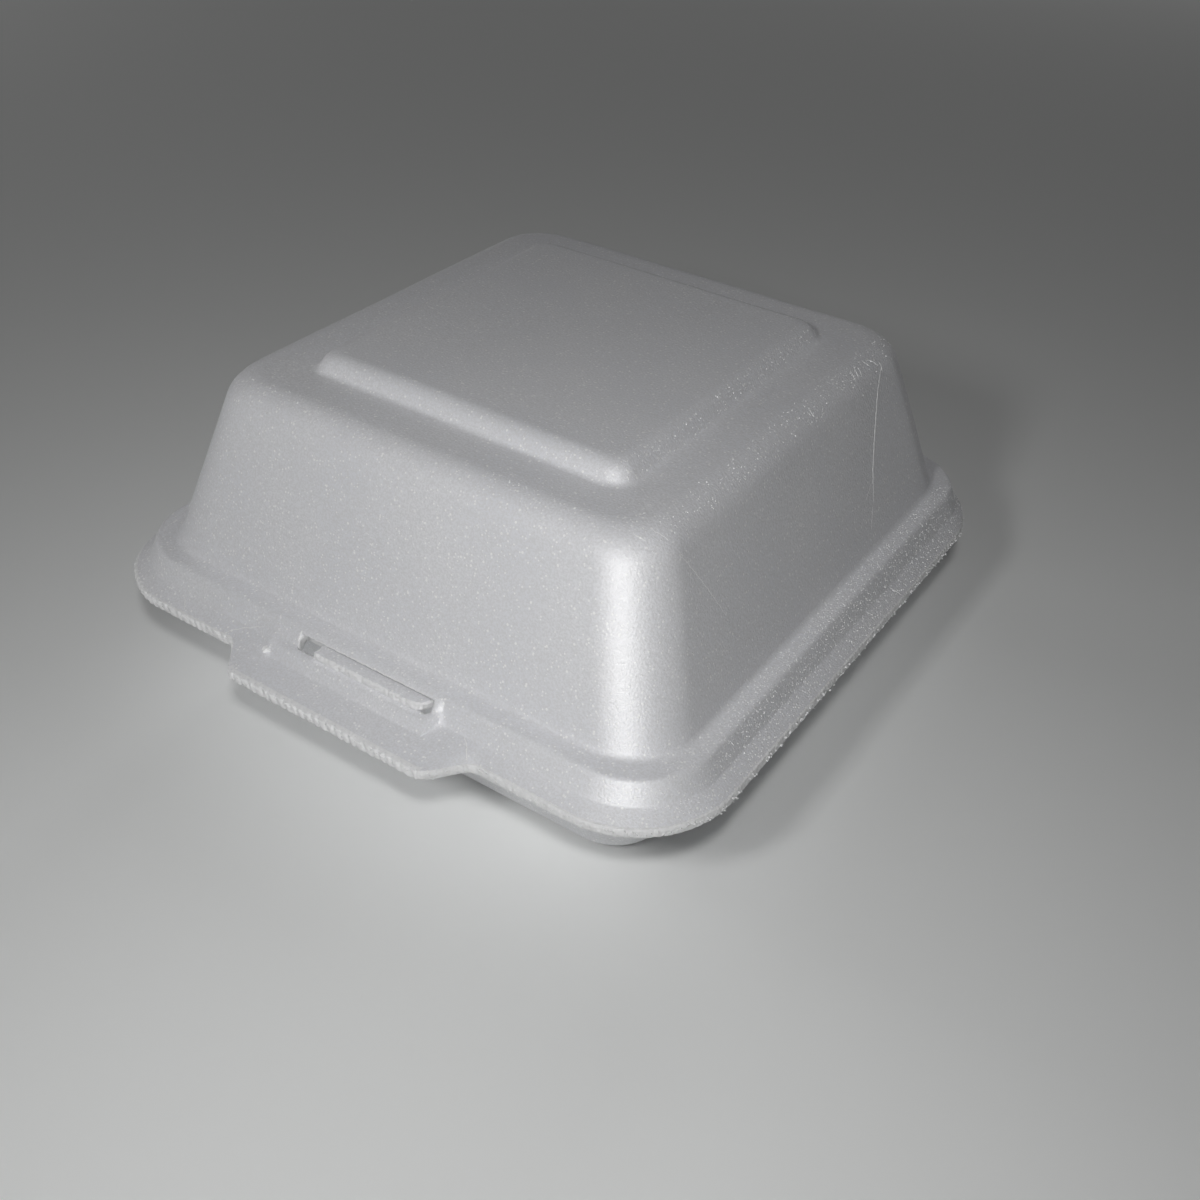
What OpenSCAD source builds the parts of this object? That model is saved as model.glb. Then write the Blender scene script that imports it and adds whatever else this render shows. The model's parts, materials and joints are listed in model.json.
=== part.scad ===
// Hinged clamshell container, thermoformed from one sheet of foam and shown closed.
// The lid and the base are lofts through rounded rectangles, with the sheet's thickness between two such skins.
// Millimetres, +Z up. The origin is on the table under the middle of the rim, and the latch tab points to -Y.

/* [Overall] */
// Width over the rim, left to right
rim_w = 150; // [130:1:240]
// Depth over the rim, front edge to hinge line, without the tab
rim_d = 154; // [130:1:240]
// Radius of the rim's corners, seen from above
rim_r = 22.5; // [20:0.5:32]
// Height of the rim's lower edge above the table
rim_z = 29; // [22:1:60]
// Thickness of the foam sheet
sheet_t = 2.2; // [1.8:0.1:2.6]

/* [Rim of the lid] */
// Width of the outer skirt, cut edge to crease
skirt_w = 4.1; // [3.5:0.1:7]
// How far the skirt climbs from its upper cut edge to the crease
skirt_rise = 2; // [0.5:0.1:3]
// Run of the steep step above the crease
step_w = 2; // [1:0.1:4]
// Height of the flat ledge above the rim's lower edge
ledge_z = 9; // [8:0.5:14]
// Width of the flat ledge between the step and the wall
ledge_w = 4.4; // [3.5:0.1:8]
// Rounding of the ledge's outer edge
ledge_round = 1.2; // [0.6:0.1:2]
// Rounding where the ledge meets the wall
foot_round = 1.8; // [0.6:0.1:3]

/* [Lid] */
// Height of the shoulder above the rim's lower edge
shoulder_z = 47; // [32:1:90]
// Lean of the lid's walls from upright, in degrees
lid_draft = 17.4; // [8:0.1:20]
// Corner radius of the walls at their foot
wall_r = 13.8; // [11:0.1:18]
// Corner radius of the walls at the shoulder
shoulder_r = 11.3; // [8:0.1:16]
// Rounding of the shoulder
shoulder_round = 7; // [4:0.5:9]
// Width of the flat band between the shoulder's edge and the raised panel
band_w = 13.6; // [11:0.1:16]
// Height of the raised panel above the band
panel_h = 3.7; // [2:0.1:6]
// Run of the raised panel's sloping edge
panel_slope = 2.4; // [1.5:0.1:5]
// Corner radius of the raised panel
panel_r = 4.6; // [3.6:0.1:9]
// Rounding of the raised panel's upper edge
panel_round = 2.4; // [1:0.1:3]

/* [Front latch] */
// How far the finger tab stands out past the rim
tab_reach = 7.6; // [5:0.1:14]
// Width of the finger tab at its front edge
tab_w = 47; // [46:1:54]
// Width of the finger tab where it leaves the rim
tab_root_w = 65; // [58:1:76]
// Width of the raised lip in front of the slot
lip_w = 41; // [38:1:44]
// Length over which each end of the lip fades into the rim
lip_fade = 2.6; // [1.5:0.1:5]
// How far the lip's crease stands out from the skirt's crease
lip_reach = 4.1; // [3:0.1:5]
// Run of the lip's outer slope
lip_slope = 1.7; // [1:0.1:2.5]
// Height of the lip above its crease
lip_h = 2.6; // [1.5:0.1:3.2]
// Width of the lip's flat top, from its outer edge to the slot
lip_top = 1.5; // [1:0.1:2]
// How far the lip's top runs on into the slot's cut before the sheet climbs to the ledge
lip_run_on = 0.4; // [0.2:0.1:0.8]
// Length of the slot
slot_w = 34; // [31:0.5:36]
// How far the slot is cut back past the inner corner under the ledge
slot_set_back = 0.4; // [0.3:0.1:1.2]
// Corner radius of the slot
slot_r = 0.9; // [0.4:0.1:1.2]
// Length of the base's tongue
tongue_w = 26.6; // [20:0.1:28]
// Thickness of the tongue, pressed a little thinner than the sheet
tongue_t = 1.9; // [1.4:0.1:2.1]
// Corner radius of the tongue's free end
tongue_r = 2.6; // [1:0.1:3]
// Clearance between the tongue and the slot at its front and right end
tongue_gap = 0.6; // [0.5:0.1:1]

/* [Base] */
// Clearance between the base's rim and the inside of the lid's rim
nest_gap = 0.3; // [0.2:0.1:0.6]
// Width of the base's flange, its cut edge to the outside of the wall
flange_w = 2.6; // [2:0.1:5]
// Lean of the base's walls from upright, in degrees
base_draft = 17.4; // [8:0.1:20]
// Corner radius of the base's walls under the flange
base_r = 13.4; // [11:0.1:18]
// Corner radius of the base at the table
base_foot_r = 11; // [8:0.1:16]
// Rounding of the base's lower edge
base_round = 6.5; // [4:0.5:8]
// Width of the flat foot that the base stands on, with its rounding
foot_w = 15; // [11:0.5:20]
// Depth of the stacking recess under the base, which takes another lid's panel
recess_h = 2.6; // [1.5:0.1:5]
// Run of the recess's sloping edge
recess_slope = 2.4; // [1.5:0.1:5]

/* [Hinge] */
// Diameter of the round fold of crushed foam at the hinge line
fold_d = 2.2; // [1.6:0.1:3]
// Clearance between the fold and the lid's edge
fold_gap = 0.12; // [0.1:0.02:0.3]
// How far the hinge stops short of the corners' curves at each end
hinge_end = 1.5; // [0:0.5:10]
// How deep the hinge's rear flange is rooted in the base's flange
hinge_root = 0.5; // [0.3:0.1:0.8]
// How far the fold stops short of the rear flange at each end
fold_end = 0.5; // [0.2:0.1:3]

/* [Hidden] */
foam_white = [0.93, 0.93, 0.95];
corner_steps = 8;
cap_margin = 5;
cut_over = 4;
hw = rim_w / 2;
hd = rim_d / 2;
crease_z = rim_z + sheet_t + skirt_rise;
ledge_out = skirt_w + step_w;
ledge_top = rim_z + ledge_z;
wall_in = ledge_out + ledge_w;
shoulder_top = rim_z + shoulder_z;
shoulder_in = wall_in + (shoulder_z - ledge_z) * tan(lid_draft);
panel_in = shoulder_in + band_w;
panel_top = shoulder_top + panel_h;
panel_edge = panel_in + panel_slope;
lip_in = skirt_w - lip_reach;
lip_crease_z = rim_z + sheet_t + skirt_rise / 2;
slot_front = lip_in + lip_slope + lip_top;
flange_z = ledge_top - 2 * sheet_t - nest_gap;
hinge_w = rim_w - 2 * rim_r - 2 * hinge_end;

// Vectors and paths. A path is a list of [inset from the rim line, height], from the rim to the middle.
function unit(v) = v / norm(v);
function turned(v, a) = [v[0] * cos(a) - v[1] * sin(a), v[0] * sin(a) + v[1] * cos(a)];
function normal(a, b) = let (u = unit(b - a)) [u[1], -u[0]];
function blend(a, b, share) = a + (b - a) * share;
function ease(t) = 0.5 - 0.5 * cos(180 * min(1, max(0, t)));

// The path moved square to itself, below and inside it for d above 0. The rim's end is cut upright.
function moved(path, d) = [
    for (i = [0 : len(path) - 1])
        let (last = len(path) - 1)
        let (n1 = normal(path[max(0, i - 1)], path[max(1, i)]))
        let (n2 = normal(path[min(i, last - 1)], path[min(i + 1, last)]))
        path[i] + d * (i == 0 ? [0, -1] : (n1 + n2) / (1 + n1 * n2))
];

// Which way the path turns at vertex i: 1 where its upper side is convex, -1 where it is hollow
function bend(path, i) = sign(cross(path[i] - path[i - 1], path[i + 1] - path[i])) * -1;

// Rounding radius of the skin that lies d below a path
function skin_radius(path, radii, d) = [
    for (i = [0 : len(path) - 1]) radii[i] == 0 ? 0 : max(0.4, radii[i] - d * bend(path, i))
];

// An arc of radius r tangent to the path's two sides at b, limited by their lengths
function arc(a, b, c, r) =
    let (u = unit(a - b), v = unit(c - b), half = acos(u * v) / 2)
    let (reach = min(r / tan(half), 0.48 * norm(a - b), 0.48 * norm(c - b)))
    let (radius = reach * tan(half), mid = b + unit(u + v) * radius / sin(half))
    let (steps = r < 3 ? 3 : 6, turn = -sign(cross(u, v)) * (180 - 2 * half))
    [for (k = [0 : steps]) mid + turned(b + u * reach - mid, turn * k / steps)];

function rounded(path, radii) = [
    for (i = [0 : len(path) - 1])
        each radii[i] == 0 ? [path[i]] : arc(path[i - 1], path[i], path[i + 1], radii[i])
];

// Corner radii of a skin that lies d below a path: a skin moved inwards has tighter corners
function skin_corners(path, corners, d) = let (skin = moved(path, d)) [
    for (i = [0 : len(path) - 1]) [skin[i][0], max(0.6, corners[i] - skin[i][0] + path[i][0])]
];

// The lid's outer side: cut edge, crease, two points up the step, ledge, wall, shoulder, panel
function lid_path(edge, crease, ridge, shelf) = [
    edge,
    crease,
    ridge,
    shelf,
    [ledge_out, ledge_top],
    [wall_in, ledge_top],
    [shoulder_in, shoulder_top],
    [panel_in, shoulder_top],
    [panel_edge, panel_top],
    [panel_edge + cap_margin, panel_top]
];
crease = [skirt_w, crease_z];
ledge_edge = [ledge_out, ledge_top];
lid_plain = lid_path([0, rim_z + sheet_t], crease, blend(crease, ledge_edge, 1 / 3), blend(crease, ledge_edge, 2 / 3));
lid_latch = lid_path(
    [-tab_reach, rim_z + sheet_t],
    [lip_in, lip_crease_z],
    [lip_in + lip_slope, lip_crease_z + lip_h],
    [slot_front + lip_run_on, lip_crease_z + lip_h]
);
slot_back = moved(lid_latch, sheet_t)[4][0] + slot_set_back;
lid_radii = [0, 0, 0, 0, ledge_round, foot_round, shoulder_round, foot_round, panel_round, 0];
lid_corners = [
    rim_r,
    for (i = [1 : 4]) rim_r - lid_plain[i][0],
    wall_r,
    shoulder_r,
    panel_r,
    panel_r - panel_slope / 2,
    panel_r
];

// The base's under side: flange, wall, foot, and the stacking recess in the middle
flange_in = moved(lid_plain, sheet_t + nest_gap)[4][0];
base_wall_in = flange_in + flange_w;
base_foot_in = base_wall_in + flange_z * tan(base_draft);
recess_in = base_foot_in + foot_w;
recess_edge = recess_in + recess_slope;
base_path = [
    [flange_in, flange_z],
    [base_wall_in, flange_z],
    [base_foot_in, 0],
    [recess_in, 0],
    [recess_edge, recess_h],
    [recess_edge + cap_margin, recess_h]
];
base_radii = [0, foot_round, base_round, foot_round, panel_round, 0];
base_corners = [rim_r - flange_in, base_r, base_foot_r, panel_r, panel_r - recess_slope / 2, panel_r];

// Places across the front where the rim's rings bend out into the tab and the lip
tab_fade = (tab_root_w - tab_w) / 2;
front_half = [
    for (k = [4 : -1 : 0]) tab_w / 2 + tab_fade * k / 4,
    for (k = [3 : -1 : 0]) lip_w / 2 + min(lip_fade, tab_w / 2 - lip_w / 2 - 0.2) * k / 3
];
front_x = concat(-front_half, [for (k = [len(front_half) - 1 : -1 : 0]) front_half[k]]);
function tab_share(x) = ease((tab_root_w / 2 - abs(x)) / tab_fade);
function lip_share(x) = ease((lip_w / 2 + lip_fade - abs(x)) / lip_fade);

// One ring of a skin: a rounded rectangle whose front bends from point p to point q by each place's share
function ring(p, q, r, at_edge, front) =
    let (x = hw - p[0] - r, y = hd - p[0] - r, narrow = min(1, 1.8 * x / tab_root_w))
    concat(
        [
            for (s = front)
                let (m = blend(p, q, at_edge ? tab_share(s) : lip_share(s)))
                [s * narrow, m[0] - hd, m[1]]
        ],
        [
            for (c = [0 : 3], k = [0 : corner_steps])
                let (a = 90 * (c - 1 + k / corner_steps))
                [x * [1, 1, -1, -1][c] + r * cos(a), y * [-1, 1, 1, -1][c] + r * sin(a), p[1]]
        ]
    );

// All rings of the skin that lies d below a path, from the rim to the middle
function skin(path, latch, radii, corners, d, front) =
    let (p = rounded(moved(path, d), skin_radius(path, radii, d)))
    let (q = rounded(moved(latch, d), skin_radius(latch, radii, d)))
    let (table = skin_corners(path, corners, d))
    [for (k = [0 : len(p) - 1]) ring(p[k], q[k], lookup(p[k][0], table), k == 0, front)];

// The closed solid between an upper and a lower skin, joined at the cut edge
module sheet(upper, lower) {
    n = len(upper[0]);
    rings = concat(upper, [for (k = [len(lower) - 1 : -1 : 0]) lower[k]]);
    bands = [
        for (k = [0 : len(rings) - 1], i = [0 : n - 1])
            let (next = (k + 1) % len(rings), j = (i + 1) % n)
            if (k != len(upper) - 1)
                each [[k * n + i, next * n + i, next * n + j], [k * n + i, next * n + j, k * n + j]]
    ];
    // Each cap starts in the middle of a rear corner, so no three of its fan's points are in line
    start = n - 3 * (corner_steps + 1) + corner_steps / 2;
    top_cap = [for (i = [n : -1 : 1]) (len(upper) - 1) * n + (start + i) % n];
    under_cap = [for (i = [0 : n - 1]) len(upper) * n + (start + i) % n];
    polyhedron([for (r = rings) each r], concat(bands, [top_cap, under_cap]), convexity = 8);
}

// A flat plate between two insets at the front, with rounded corners
module front_plate(x1, x2, outer, inner, z1, z2, r) {
    translate([0, 0, z1])
        linear_extrude(z2 - z1)
            translate([x1 + r, outer - hd + r])
                offset_square(x2 - x1 - 2 * r, inner - outer - 2 * r, r);
}

// A rectangle grown by r on all sides, with round corners
module offset_square(w, d, r) {
    translate([-r, 0])
        square([w + 2 * r, d]);
    translate([0, -r])
        square([w, d + 2 * r]);
    for (x = [0, w], y = [0, d])
        translate([x, y])
            circle(r, $fn = 32);
}

// A bar across the container, with its section drawn as [inset from the rear rim line, height]
module rear_bar(section) {
    translate([-hinge_w / 2, hd, 0])
        rotate([90, 0, 90])
            linear_extrude(hinge_w)
                polygon([for (p = section) [-p[0], p[1]]]);
}

// The round fold along the hinge line, grown by a clearance on all sides
module fold(clearance) {
    length = hinge_w - 2 * fold_end + 2 * clearance;
    translate([-length / 2, hd, rim_z])
        rotate([0, 90, 0])
            cylinder(h = length, d = fold_d + 2 * clearance, $fn = 48);
}

module base_tray() {
    tongue_right = slot_w / 2 - tongue_gap;
    under_lid = moved(lid_plain, sheet_t + nest_gap);
    under_flange = moved(lid_plain, 2 * sheet_t + nest_gap);
    color(foam_white)
        union() {
            sheet(
                skin(base_path, base_path, base_radii, base_corners, -sheet_t, []),
                skin(base_path, base_path, base_radii, base_corners, 0, [])
            );
            front_plate(
                tongue_right - tongue_w,
                tongue_right,
                slot_front + tongue_gap,
                base_wall_in,
                flange_z + (sheet_t - tongue_t) / 2,
                flange_z + (sheet_t + tongue_t) / 2,
                tongue_r
            );
            rear_bar([
                under_lid[0],
                under_lid[1],
                under_lid[4] + [hinge_root, -hinge_root],
                under_flange[4] + [0, hinge_root],
                under_flange[1],
                under_flange[0]
            ]);
            fold(0);
        }
}

module lid() {
    color(foam_white)
        difference() {
            sheet(
                skin(lid_plain, lid_latch, lid_radii, lid_corners, 0, front_x),
                skin(lid_plain, lid_latch, lid_radii, lid_corners, sheet_t, front_x)
            );
            front_plate(
                -slot_w / 2,
                slot_w / 2,
                slot_front,
                slot_back,
                rim_z,
                ledge_top + cut_over,
                slot_r
            );
            fold(fold_gap);
        }
}

base_tray();
lid();
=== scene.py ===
"""Looks of a closed foam clamshell container, built around its packed lid and base."""

import json
import math

import bmesh
import bpy
import numpy as np
from bpy.props import FloatProperty, FloatVectorProperty, IntProperty, PointerProperty
from bpy.types import Operator, Panel, PropertyGroup
from mathutils import Matrix, Vector


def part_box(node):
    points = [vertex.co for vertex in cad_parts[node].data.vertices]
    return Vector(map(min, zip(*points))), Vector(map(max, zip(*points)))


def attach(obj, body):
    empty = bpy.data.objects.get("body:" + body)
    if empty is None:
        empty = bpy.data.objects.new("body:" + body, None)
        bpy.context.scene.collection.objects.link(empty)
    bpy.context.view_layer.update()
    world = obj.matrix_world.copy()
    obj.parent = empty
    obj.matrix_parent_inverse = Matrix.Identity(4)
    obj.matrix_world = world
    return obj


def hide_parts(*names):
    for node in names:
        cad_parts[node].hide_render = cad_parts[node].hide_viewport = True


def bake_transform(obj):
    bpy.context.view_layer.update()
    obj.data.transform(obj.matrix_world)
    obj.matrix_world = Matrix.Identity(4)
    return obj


bl_info = {
    "name": "Foam clamshell container",
    "version": (1, 0, 0),
    "blender": (4, 5, 0),
    "location": "3D View > Sidebar > Clamshell",
    # The wear includes a painted highlight on the lip's knob and flecks whose white paints glints
    "description": "Builds the foam lid, base, hinge, cut edges and wear of a clamshell container",
    "category": "Object",
}

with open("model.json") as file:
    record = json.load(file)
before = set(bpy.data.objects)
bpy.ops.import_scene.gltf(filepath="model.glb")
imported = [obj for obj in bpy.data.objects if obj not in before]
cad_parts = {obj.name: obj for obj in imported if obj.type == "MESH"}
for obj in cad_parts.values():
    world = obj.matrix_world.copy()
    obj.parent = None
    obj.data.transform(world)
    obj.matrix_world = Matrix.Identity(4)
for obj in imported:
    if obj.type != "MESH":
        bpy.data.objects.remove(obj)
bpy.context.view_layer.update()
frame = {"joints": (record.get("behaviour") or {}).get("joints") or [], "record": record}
LID_LOW, LID_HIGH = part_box("lid")
BASE_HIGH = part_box("base_tray")[1]
HINGE = Vector(frame["joints"][0]["pos_m"])
FOAM_COLOUR = frame["record"]["materials"][0]["base_color"]
MM = 1000  # millimetres to the metre


def length(name, description, default):
    """A length property in metres."""
    return FloatProperty(
        name=name,
        description=description,
        default=default,
        precision=5,
        unit="LENGTH",
        subtype="DISTANCE",
    )


def angle(name, description, degrees):
    """An angle property, given in degrees and kept in radians."""
    return FloatProperty(
        name=name,
        description=description,
        default=math.radians(degrees),
        unit="ROTATION",
        subtype="ANGLE",
    )


def share(name, description, default):
    """A property between 0 and 1."""
    return FloatProperty(
        name=name, description=description, default=default, min=0, max=1, subtype="FACTOR"
    )


def colour(name, description, default):
    """A colour property, red, green and blue."""
    return FloatVectorProperty(
        name=name, description=description, default=default, size=3, min=0, max=1, subtype="COLOR"
    )


def power(name, description, watts):
    """A lamp's power in watts."""
    return FloatProperty(name=name, description=description, default=watts, min=0, unit="POWER")


class RimSizes(PropertyGroup):
    """Sizes of the sheet and of the lid's rim."""

    half_width: length("Half width", "Middle to the cut edge, sideways", LID_HIGH.x)
    half_depth: length("Half depth", "Middle to the hinge line", HINGE.y)
    low: length("Rim height", "Table to the rim's lower edge", HINGE.z)
    sheet: length("Sheet", "Thickness of the foam sheet", 0.0022)
    corner: length("Rim corner", "Radius of the rim's front corners from above", 0.0225)
    rear_corner: length("Rear corner", "Radius of the cut at the two rear corners", 0.027)
    skirt_width: length("Skirt width", "Cut edge to crease", 0.0041)
    skirt_rise: length("Skirt rise", "Climb of the skirt to its crease", 0.002)
    step_run: length("Step run", "Run of the steep step above the crease", 0.002)
    ledge_height: length("Ledge height", "Rim's lower edge to the ledge", 0.009)
    ledge_width: length("Ledge width", "Step to the wall's foot", 0.0044)
    crease_round: length("Crease rounding", "Rounding of the skirt's crease", 0.0009)
    ledge_round: length("Ledge rounding", "Rounding of the ledge's edge", 0.002)
    foot_round: length("Foot rounding", "Rounding at the wall's foot", 0.0015)


class LidSizes(PropertyGroup):
    """Sizes of the lid's walls, shoulder and raised panel."""

    shoulder_height: length("Shoulder height", "Rim's lower edge to the shoulder", 0.047)
    draft: angle("Wall lean", "Lean of the walls from upright", 17.4)
    wall_corner: length("Wall corner", "Corner radius at the wall's foot", 0.0138)
    shoulder_corner: length("Shoulder corner", "Corner radius at the shoulder", 0.0113)
    shoulder_round: length("Shoulder rounding", "Rounding of the shoulder", 0.007)
    band_width: length("Band width", "Shoulder to the raised panel", 0.0136)
    panel_height: length("Panel height", "Band to the panel's top", 0.0037)
    panel_slope: length("Panel slope", "Run of the panel's sloping edge", 0.0024)
    panel_corner: length("Panel corner", "Corner radius of the panel", 0.0046)
    panel_round: length("Panel rounding", "Rounding of the panel's upper edge", 0.0045)
    panel_foot_round: length("Panel foot rounding", "Rounding where the panel leaves the band", 0.0016)
    waviness: length("Waviness", "How far the formed sheet strays from true", 0.00022)


class LatchSizes(PropertyGroup):
    """Sizes of the finger tab, the lip, the slot and the base's tongue."""

    tab_reach: length("Tab reach", "Rim line to the tab's front edge", -LID_LOW.y - HINGE.y)
    tab_width: length("Tab width", "Width of the tab's front edge", 0.047)
    tab_root: length("Tab root", "Width of the tab where it leaves the rim", 0.065)
    lip_left: length("Lip's left end", "Middle to where the lip is gone on the left", 0.0285)
    lip_right: length("Lip's right end", "Middle to where the lip is gone on the right", 0.0207)
    left_fade: length("Left fade", "Length over which the lip's left end fades", 0.0104)
    right_fade: length("Right fade", "Length over which the lip's right end fades", 0.0013)
    knob_height: length("Knob height", "Height of the round knob at the lip's left end", 0.001)
    knob_reach: length("Knob reach", "Spread of the knob", 0.0009)
    knob_tail: length("Knob tail", "Spread of the knob to the left and the back", 0.0018)
    knob_place: length("Knob place", "Middle to the knob, to the left", 0.0216)
    knob_inset: length("Knob inset", "Rim line to the knob", 0.0008)
    lip_reach: length("Lip reach", "Crease of the skirt to crease of the lip", 0.0041)
    lip_slope: length("Lip slope", "Run of the lip's outer slope", 0.0017)
    lip_height: length("Lip height", "Height of the lip's outer edge above its crease", 0.0023)
    lip_climb: length("Lip climb", "Climb of the lip's top from its outer edge to the slot", 0.0005)
    lip_top: length("Lip top", "Width of the lip's flat top", 0.0015)
    lip_round: length("Lip rounding", "Rounding of the lip's outer edge", 0.0016)
    shelf_run: length("Shelf run", "Run of the shelf into the slot", 0.0004)
    slot_left: length("Slot's left end", "Middle to the slot's left end", 0.0154)
    slot_right: length("Slot's right end", "Middle to the slot's right end", 0.0187)
    slot_back: length("Slot back", "Rim line to the slot's back edge on the step", 0.0053)
    slot_root: length("Slot root", "Rim line to the slot's back under the ledge", 0.00765)
    slot_corner: length("Slot corner", "Corner radius of the slot", 0.0009)
    tongue_width: length("Tongue width", "Length of the tongue", 0.0283)
    tongue_sheet: length("Tongue sheet", "Thickness of the pressed tongue", 0.0019)
    tongue_corner: length("Tongue corner", "Corner radius of the tongue's right end", 0.0032)
    tongue_gap: length("Tongue gap", "Clearance of the tongue in the slot's right end", 0.0006)
    tongue_over: length("Tongue overlap", "How far the tongue lies over the lip", 0.001)
    tongue_lift: length("Tongue lift", "How far the tongue climbs to lie over the lip", 0.0014)


class BaseSizes(PropertyGroup):
    """Sizes of the base and of its hinge."""

    nest_gap: length("Nest gap", "Clearance inside the lid's rim", 0.0003)
    flange_width: length("Flange width", "Cut edge to the wall's outside", 0.0026)
    draft: angle("Wall lean", "Lean of the walls from upright", 17.4)
    wall_corner: length("Wall corner", "Corner radius under the flange", 0.0134)
    foot_corner: length("Foot corner", "Corner radius at the table", 0.011)
    foot_round: length("Foot rounding", "Rounding of the lower edge", 0.0065)
    foot_width: length("Foot width", "Width of the flat foot", 0.015)
    recess_height: length("Recess height", "Depth of the stacking recess", 0.0026)
    recess_slope: length("Recess slope", "Run of the recess's edge", 0.0024)
    hinge_half: length("Hinge half", "Half length of the hinge", 0.051)
    fold_radius: length("Fold radius", "Radius of the fold behind the hinge line", BASE_HIGH.y - HINGE.y)


class EdgeSizes(PropertyGroup):
    """Sizes of the rough cut edges and of the crumbs on them."""

    set_back: length("Set back", "Rim line to the shell's own edge", 0.001)
    proud: length("Bead setback", "Rim line to the beads' tops", 0.0002)
    crumb_room: length("Room for crumbs", "How much further back the smooth cut lies", 0.00028)
    step: length("Step", "Spacing of the points along the cut", 0.00025)
    tooth: length("Bead pitch", "Length of one bead of the serrated cut", 0.0019)
    tooth_lean: share("Bead lean", "How far the beads lean along the cut", 0.35)
    cell: length("Cell pitch", "Length of one torn cell in the cut", 0.0008)
    depth: length("Bead depth", "Depth of the notches between beads", 0.0005)
    crumb_spacing: length("Crumb spacing", "Spacing of places for a crumb", 0.0005)
    crumb_smallest: length("Smallest crumb", "Half size of the smallest crumb", 0.00008)
    crumb_largest: length("Largest crumb", "Half size of the largest crumb", 0.0003)
    crumb_share: share("Crumb share", "Share of the places that hold a crumb", 0.6)
    crumb_scatter: length("Crumb scatter", "How far a crumb strays from the cut's middle", 0.0003)
    fleck_smallest: length("Smallest fleck", "Half size of the smallest raised fleck", 0.00006)
    fleck_largest: length("Largest fleck", "Half size of the largest raised fleck", 0.00018)
    fleck_density: FloatProperty(
        name="Fleck density",
        description="Raised flecks to a square metre where they are thickest",
        default=900000,
        min=0,
    )
    seed: IntProperty(name="Seed", description="Seed of all that is random", default=11, min=0)


class FoamLook(PropertyGroup):
    """Colours and grain of the foam."""

    skin: colour("Skin", "Colour of the formed skin", FOAM_COLOUR)
    skin_shade: colour("Skin in shade", "Colour of the skin's duller clouds", (0.81, 0.818, 0.855))
    cut: colour("Cut", "Colour of a cut edge", (0.94, 0.94, 0.945))
    # White of creased foam, also used as painted light: the skin's glint specks, the flecks that stand in
    # for sparkle and the highlight on the lip's knob
    whitened_and_glint: colour("Whitened", "Colour of creased foam", (0.98, 0.98, 0.98))
    skin_gloss: share("Skin roughness", "Roughness of the skin", 0.5)
    cut_gloss: share("Cut roughness", "Roughness of a cut edge", 0.7)
    cell: length("Cell", "Size of one foam cell in the skin's grain", 0.0007)
    # The skin's bright specks are painted glints: dots of the whitened colour that stand in for light
    # sparkling on the cells
    glint_speck_spacing: length("Speck spacing", "Spacing of the bright specks", 0.0013)
    glint_speck_size: length("Speck size", "Radius of the largest specks", 0.0003)


class StageLook(PropertyGroup):
    """The floor, the lamps and the camera."""

    floor: colour("Floor", "Colour of the floor", (0.93, 0.94, 0.93))
    floor_half: length("Floor half", "Half size of the floor", 3.0)
    fill: share("Fill", "Strength of the even light from all round", 0.02)
    key_power: power("Key", "Power of the small lamp above the camera", 0.3)
    front_power: power("Front", "Power of the small lamp in front", 0.21)
    sheen_power: power("Sheen", "Power of the low lamp that only gives gloss", 13.0)
    back_power: power("Back", "Power of the low lamp behind", 10.0)
    left_power: power("Left", "Power of the low lamp on the left", 4.5)
    lens: FloatProperty(
        name="Lens",
        description="Focal length in millimetres",
        default=40.74,
        unit="CAMERA",
    )
    camera_place: FloatVectorProperty(
        name="Camera place",
        description="Where the camera stands",
        default=(0.1489, -0.2185, 0.2056),
        subtype="TRANSLATION",
        unit="LENGTH",
    )
    yaw: angle("Yaw", "Turn of the camera from straight ahead", -32.69)
    pitch: angle("Pitch", "Dip of the camera below level", 36.48)
    roll: angle("Roll", "Roll of the camera", 2.47)


class Clamshell(PropertyGroup):
    """All sizes and looks of the container."""

    rim: PointerProperty(type=RimSizes, name="Rim", description="Sheet and rim")
    lid: PointerProperty(type=LidSizes, name="Lid", description="Walls and panel")
    latch: PointerProperty(type=LatchSizes, name="Latch", description="Tab, lip, slot and tongue")
    base: PointerProperty(type=BaseSizes, name="Base", description="Base and hinge")
    edge: PointerProperty(type=EdgeSizes, name="Cut edges", description="Torn cells and crumbs")
    foam: PointerProperty(type=FoamLook, name="Foam", description="Colours and grain")
    stage: PointerProperty(type=StageLook, name="Stage", description="Floor, lamps and camera")


# Paths. A path is a list of (inset from the rim line, height), from the rim to the middle.

# The flat middle of a skin: where it starts past the last edge, its last ring's half width and its corner
FLAT_START = 0.005
FLAT_HALF = 0.003
FLAT_CORNER = 0.001

# The ledge's edge is this point of the lid's path
LEDGE_EDGE = 4


def unit(v):
    """The direction of v, one long."""
    return v / np.linalg.norm(v)


def cross(a, b):
    """Above 0 where b points to the left of a."""
    return a[0] * b[1] - a[1] * b[0]


def normal(a, b):
    """The direction square to the way from a to b, to its right."""
    u = unit(b - a)
    return np.array([u[1], -u[0]])


def moved(path, d):
    """The path moved square to itself, below and inside it for d above 0."""
    last = len(path) - 1
    points = [path[0] + np.array([0, -d])]
    for i in range(1, last + 1):
        before = normal(path[i - 1], path[i])
        after = normal(path[min(i, last - 1)], path[min(i + 1, last)])
        points.append(path[i] + d * (before + after) / (1 + before @ after))
    return np.array(points)


def skin_radii(path, radii, d):
    """Rounding radii of the skin that lies d below a path."""
    smallest = 0.0004
    result = []
    for i, radius in enumerate(radii):
        if radius == 0:
            result.append(0)
            continue
        bend = -np.sign(cross(path[i] - path[i - 1], path[i + 1] - path[i]))
        result.append(max(smallest, radius - d * bend))
    return result


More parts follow.
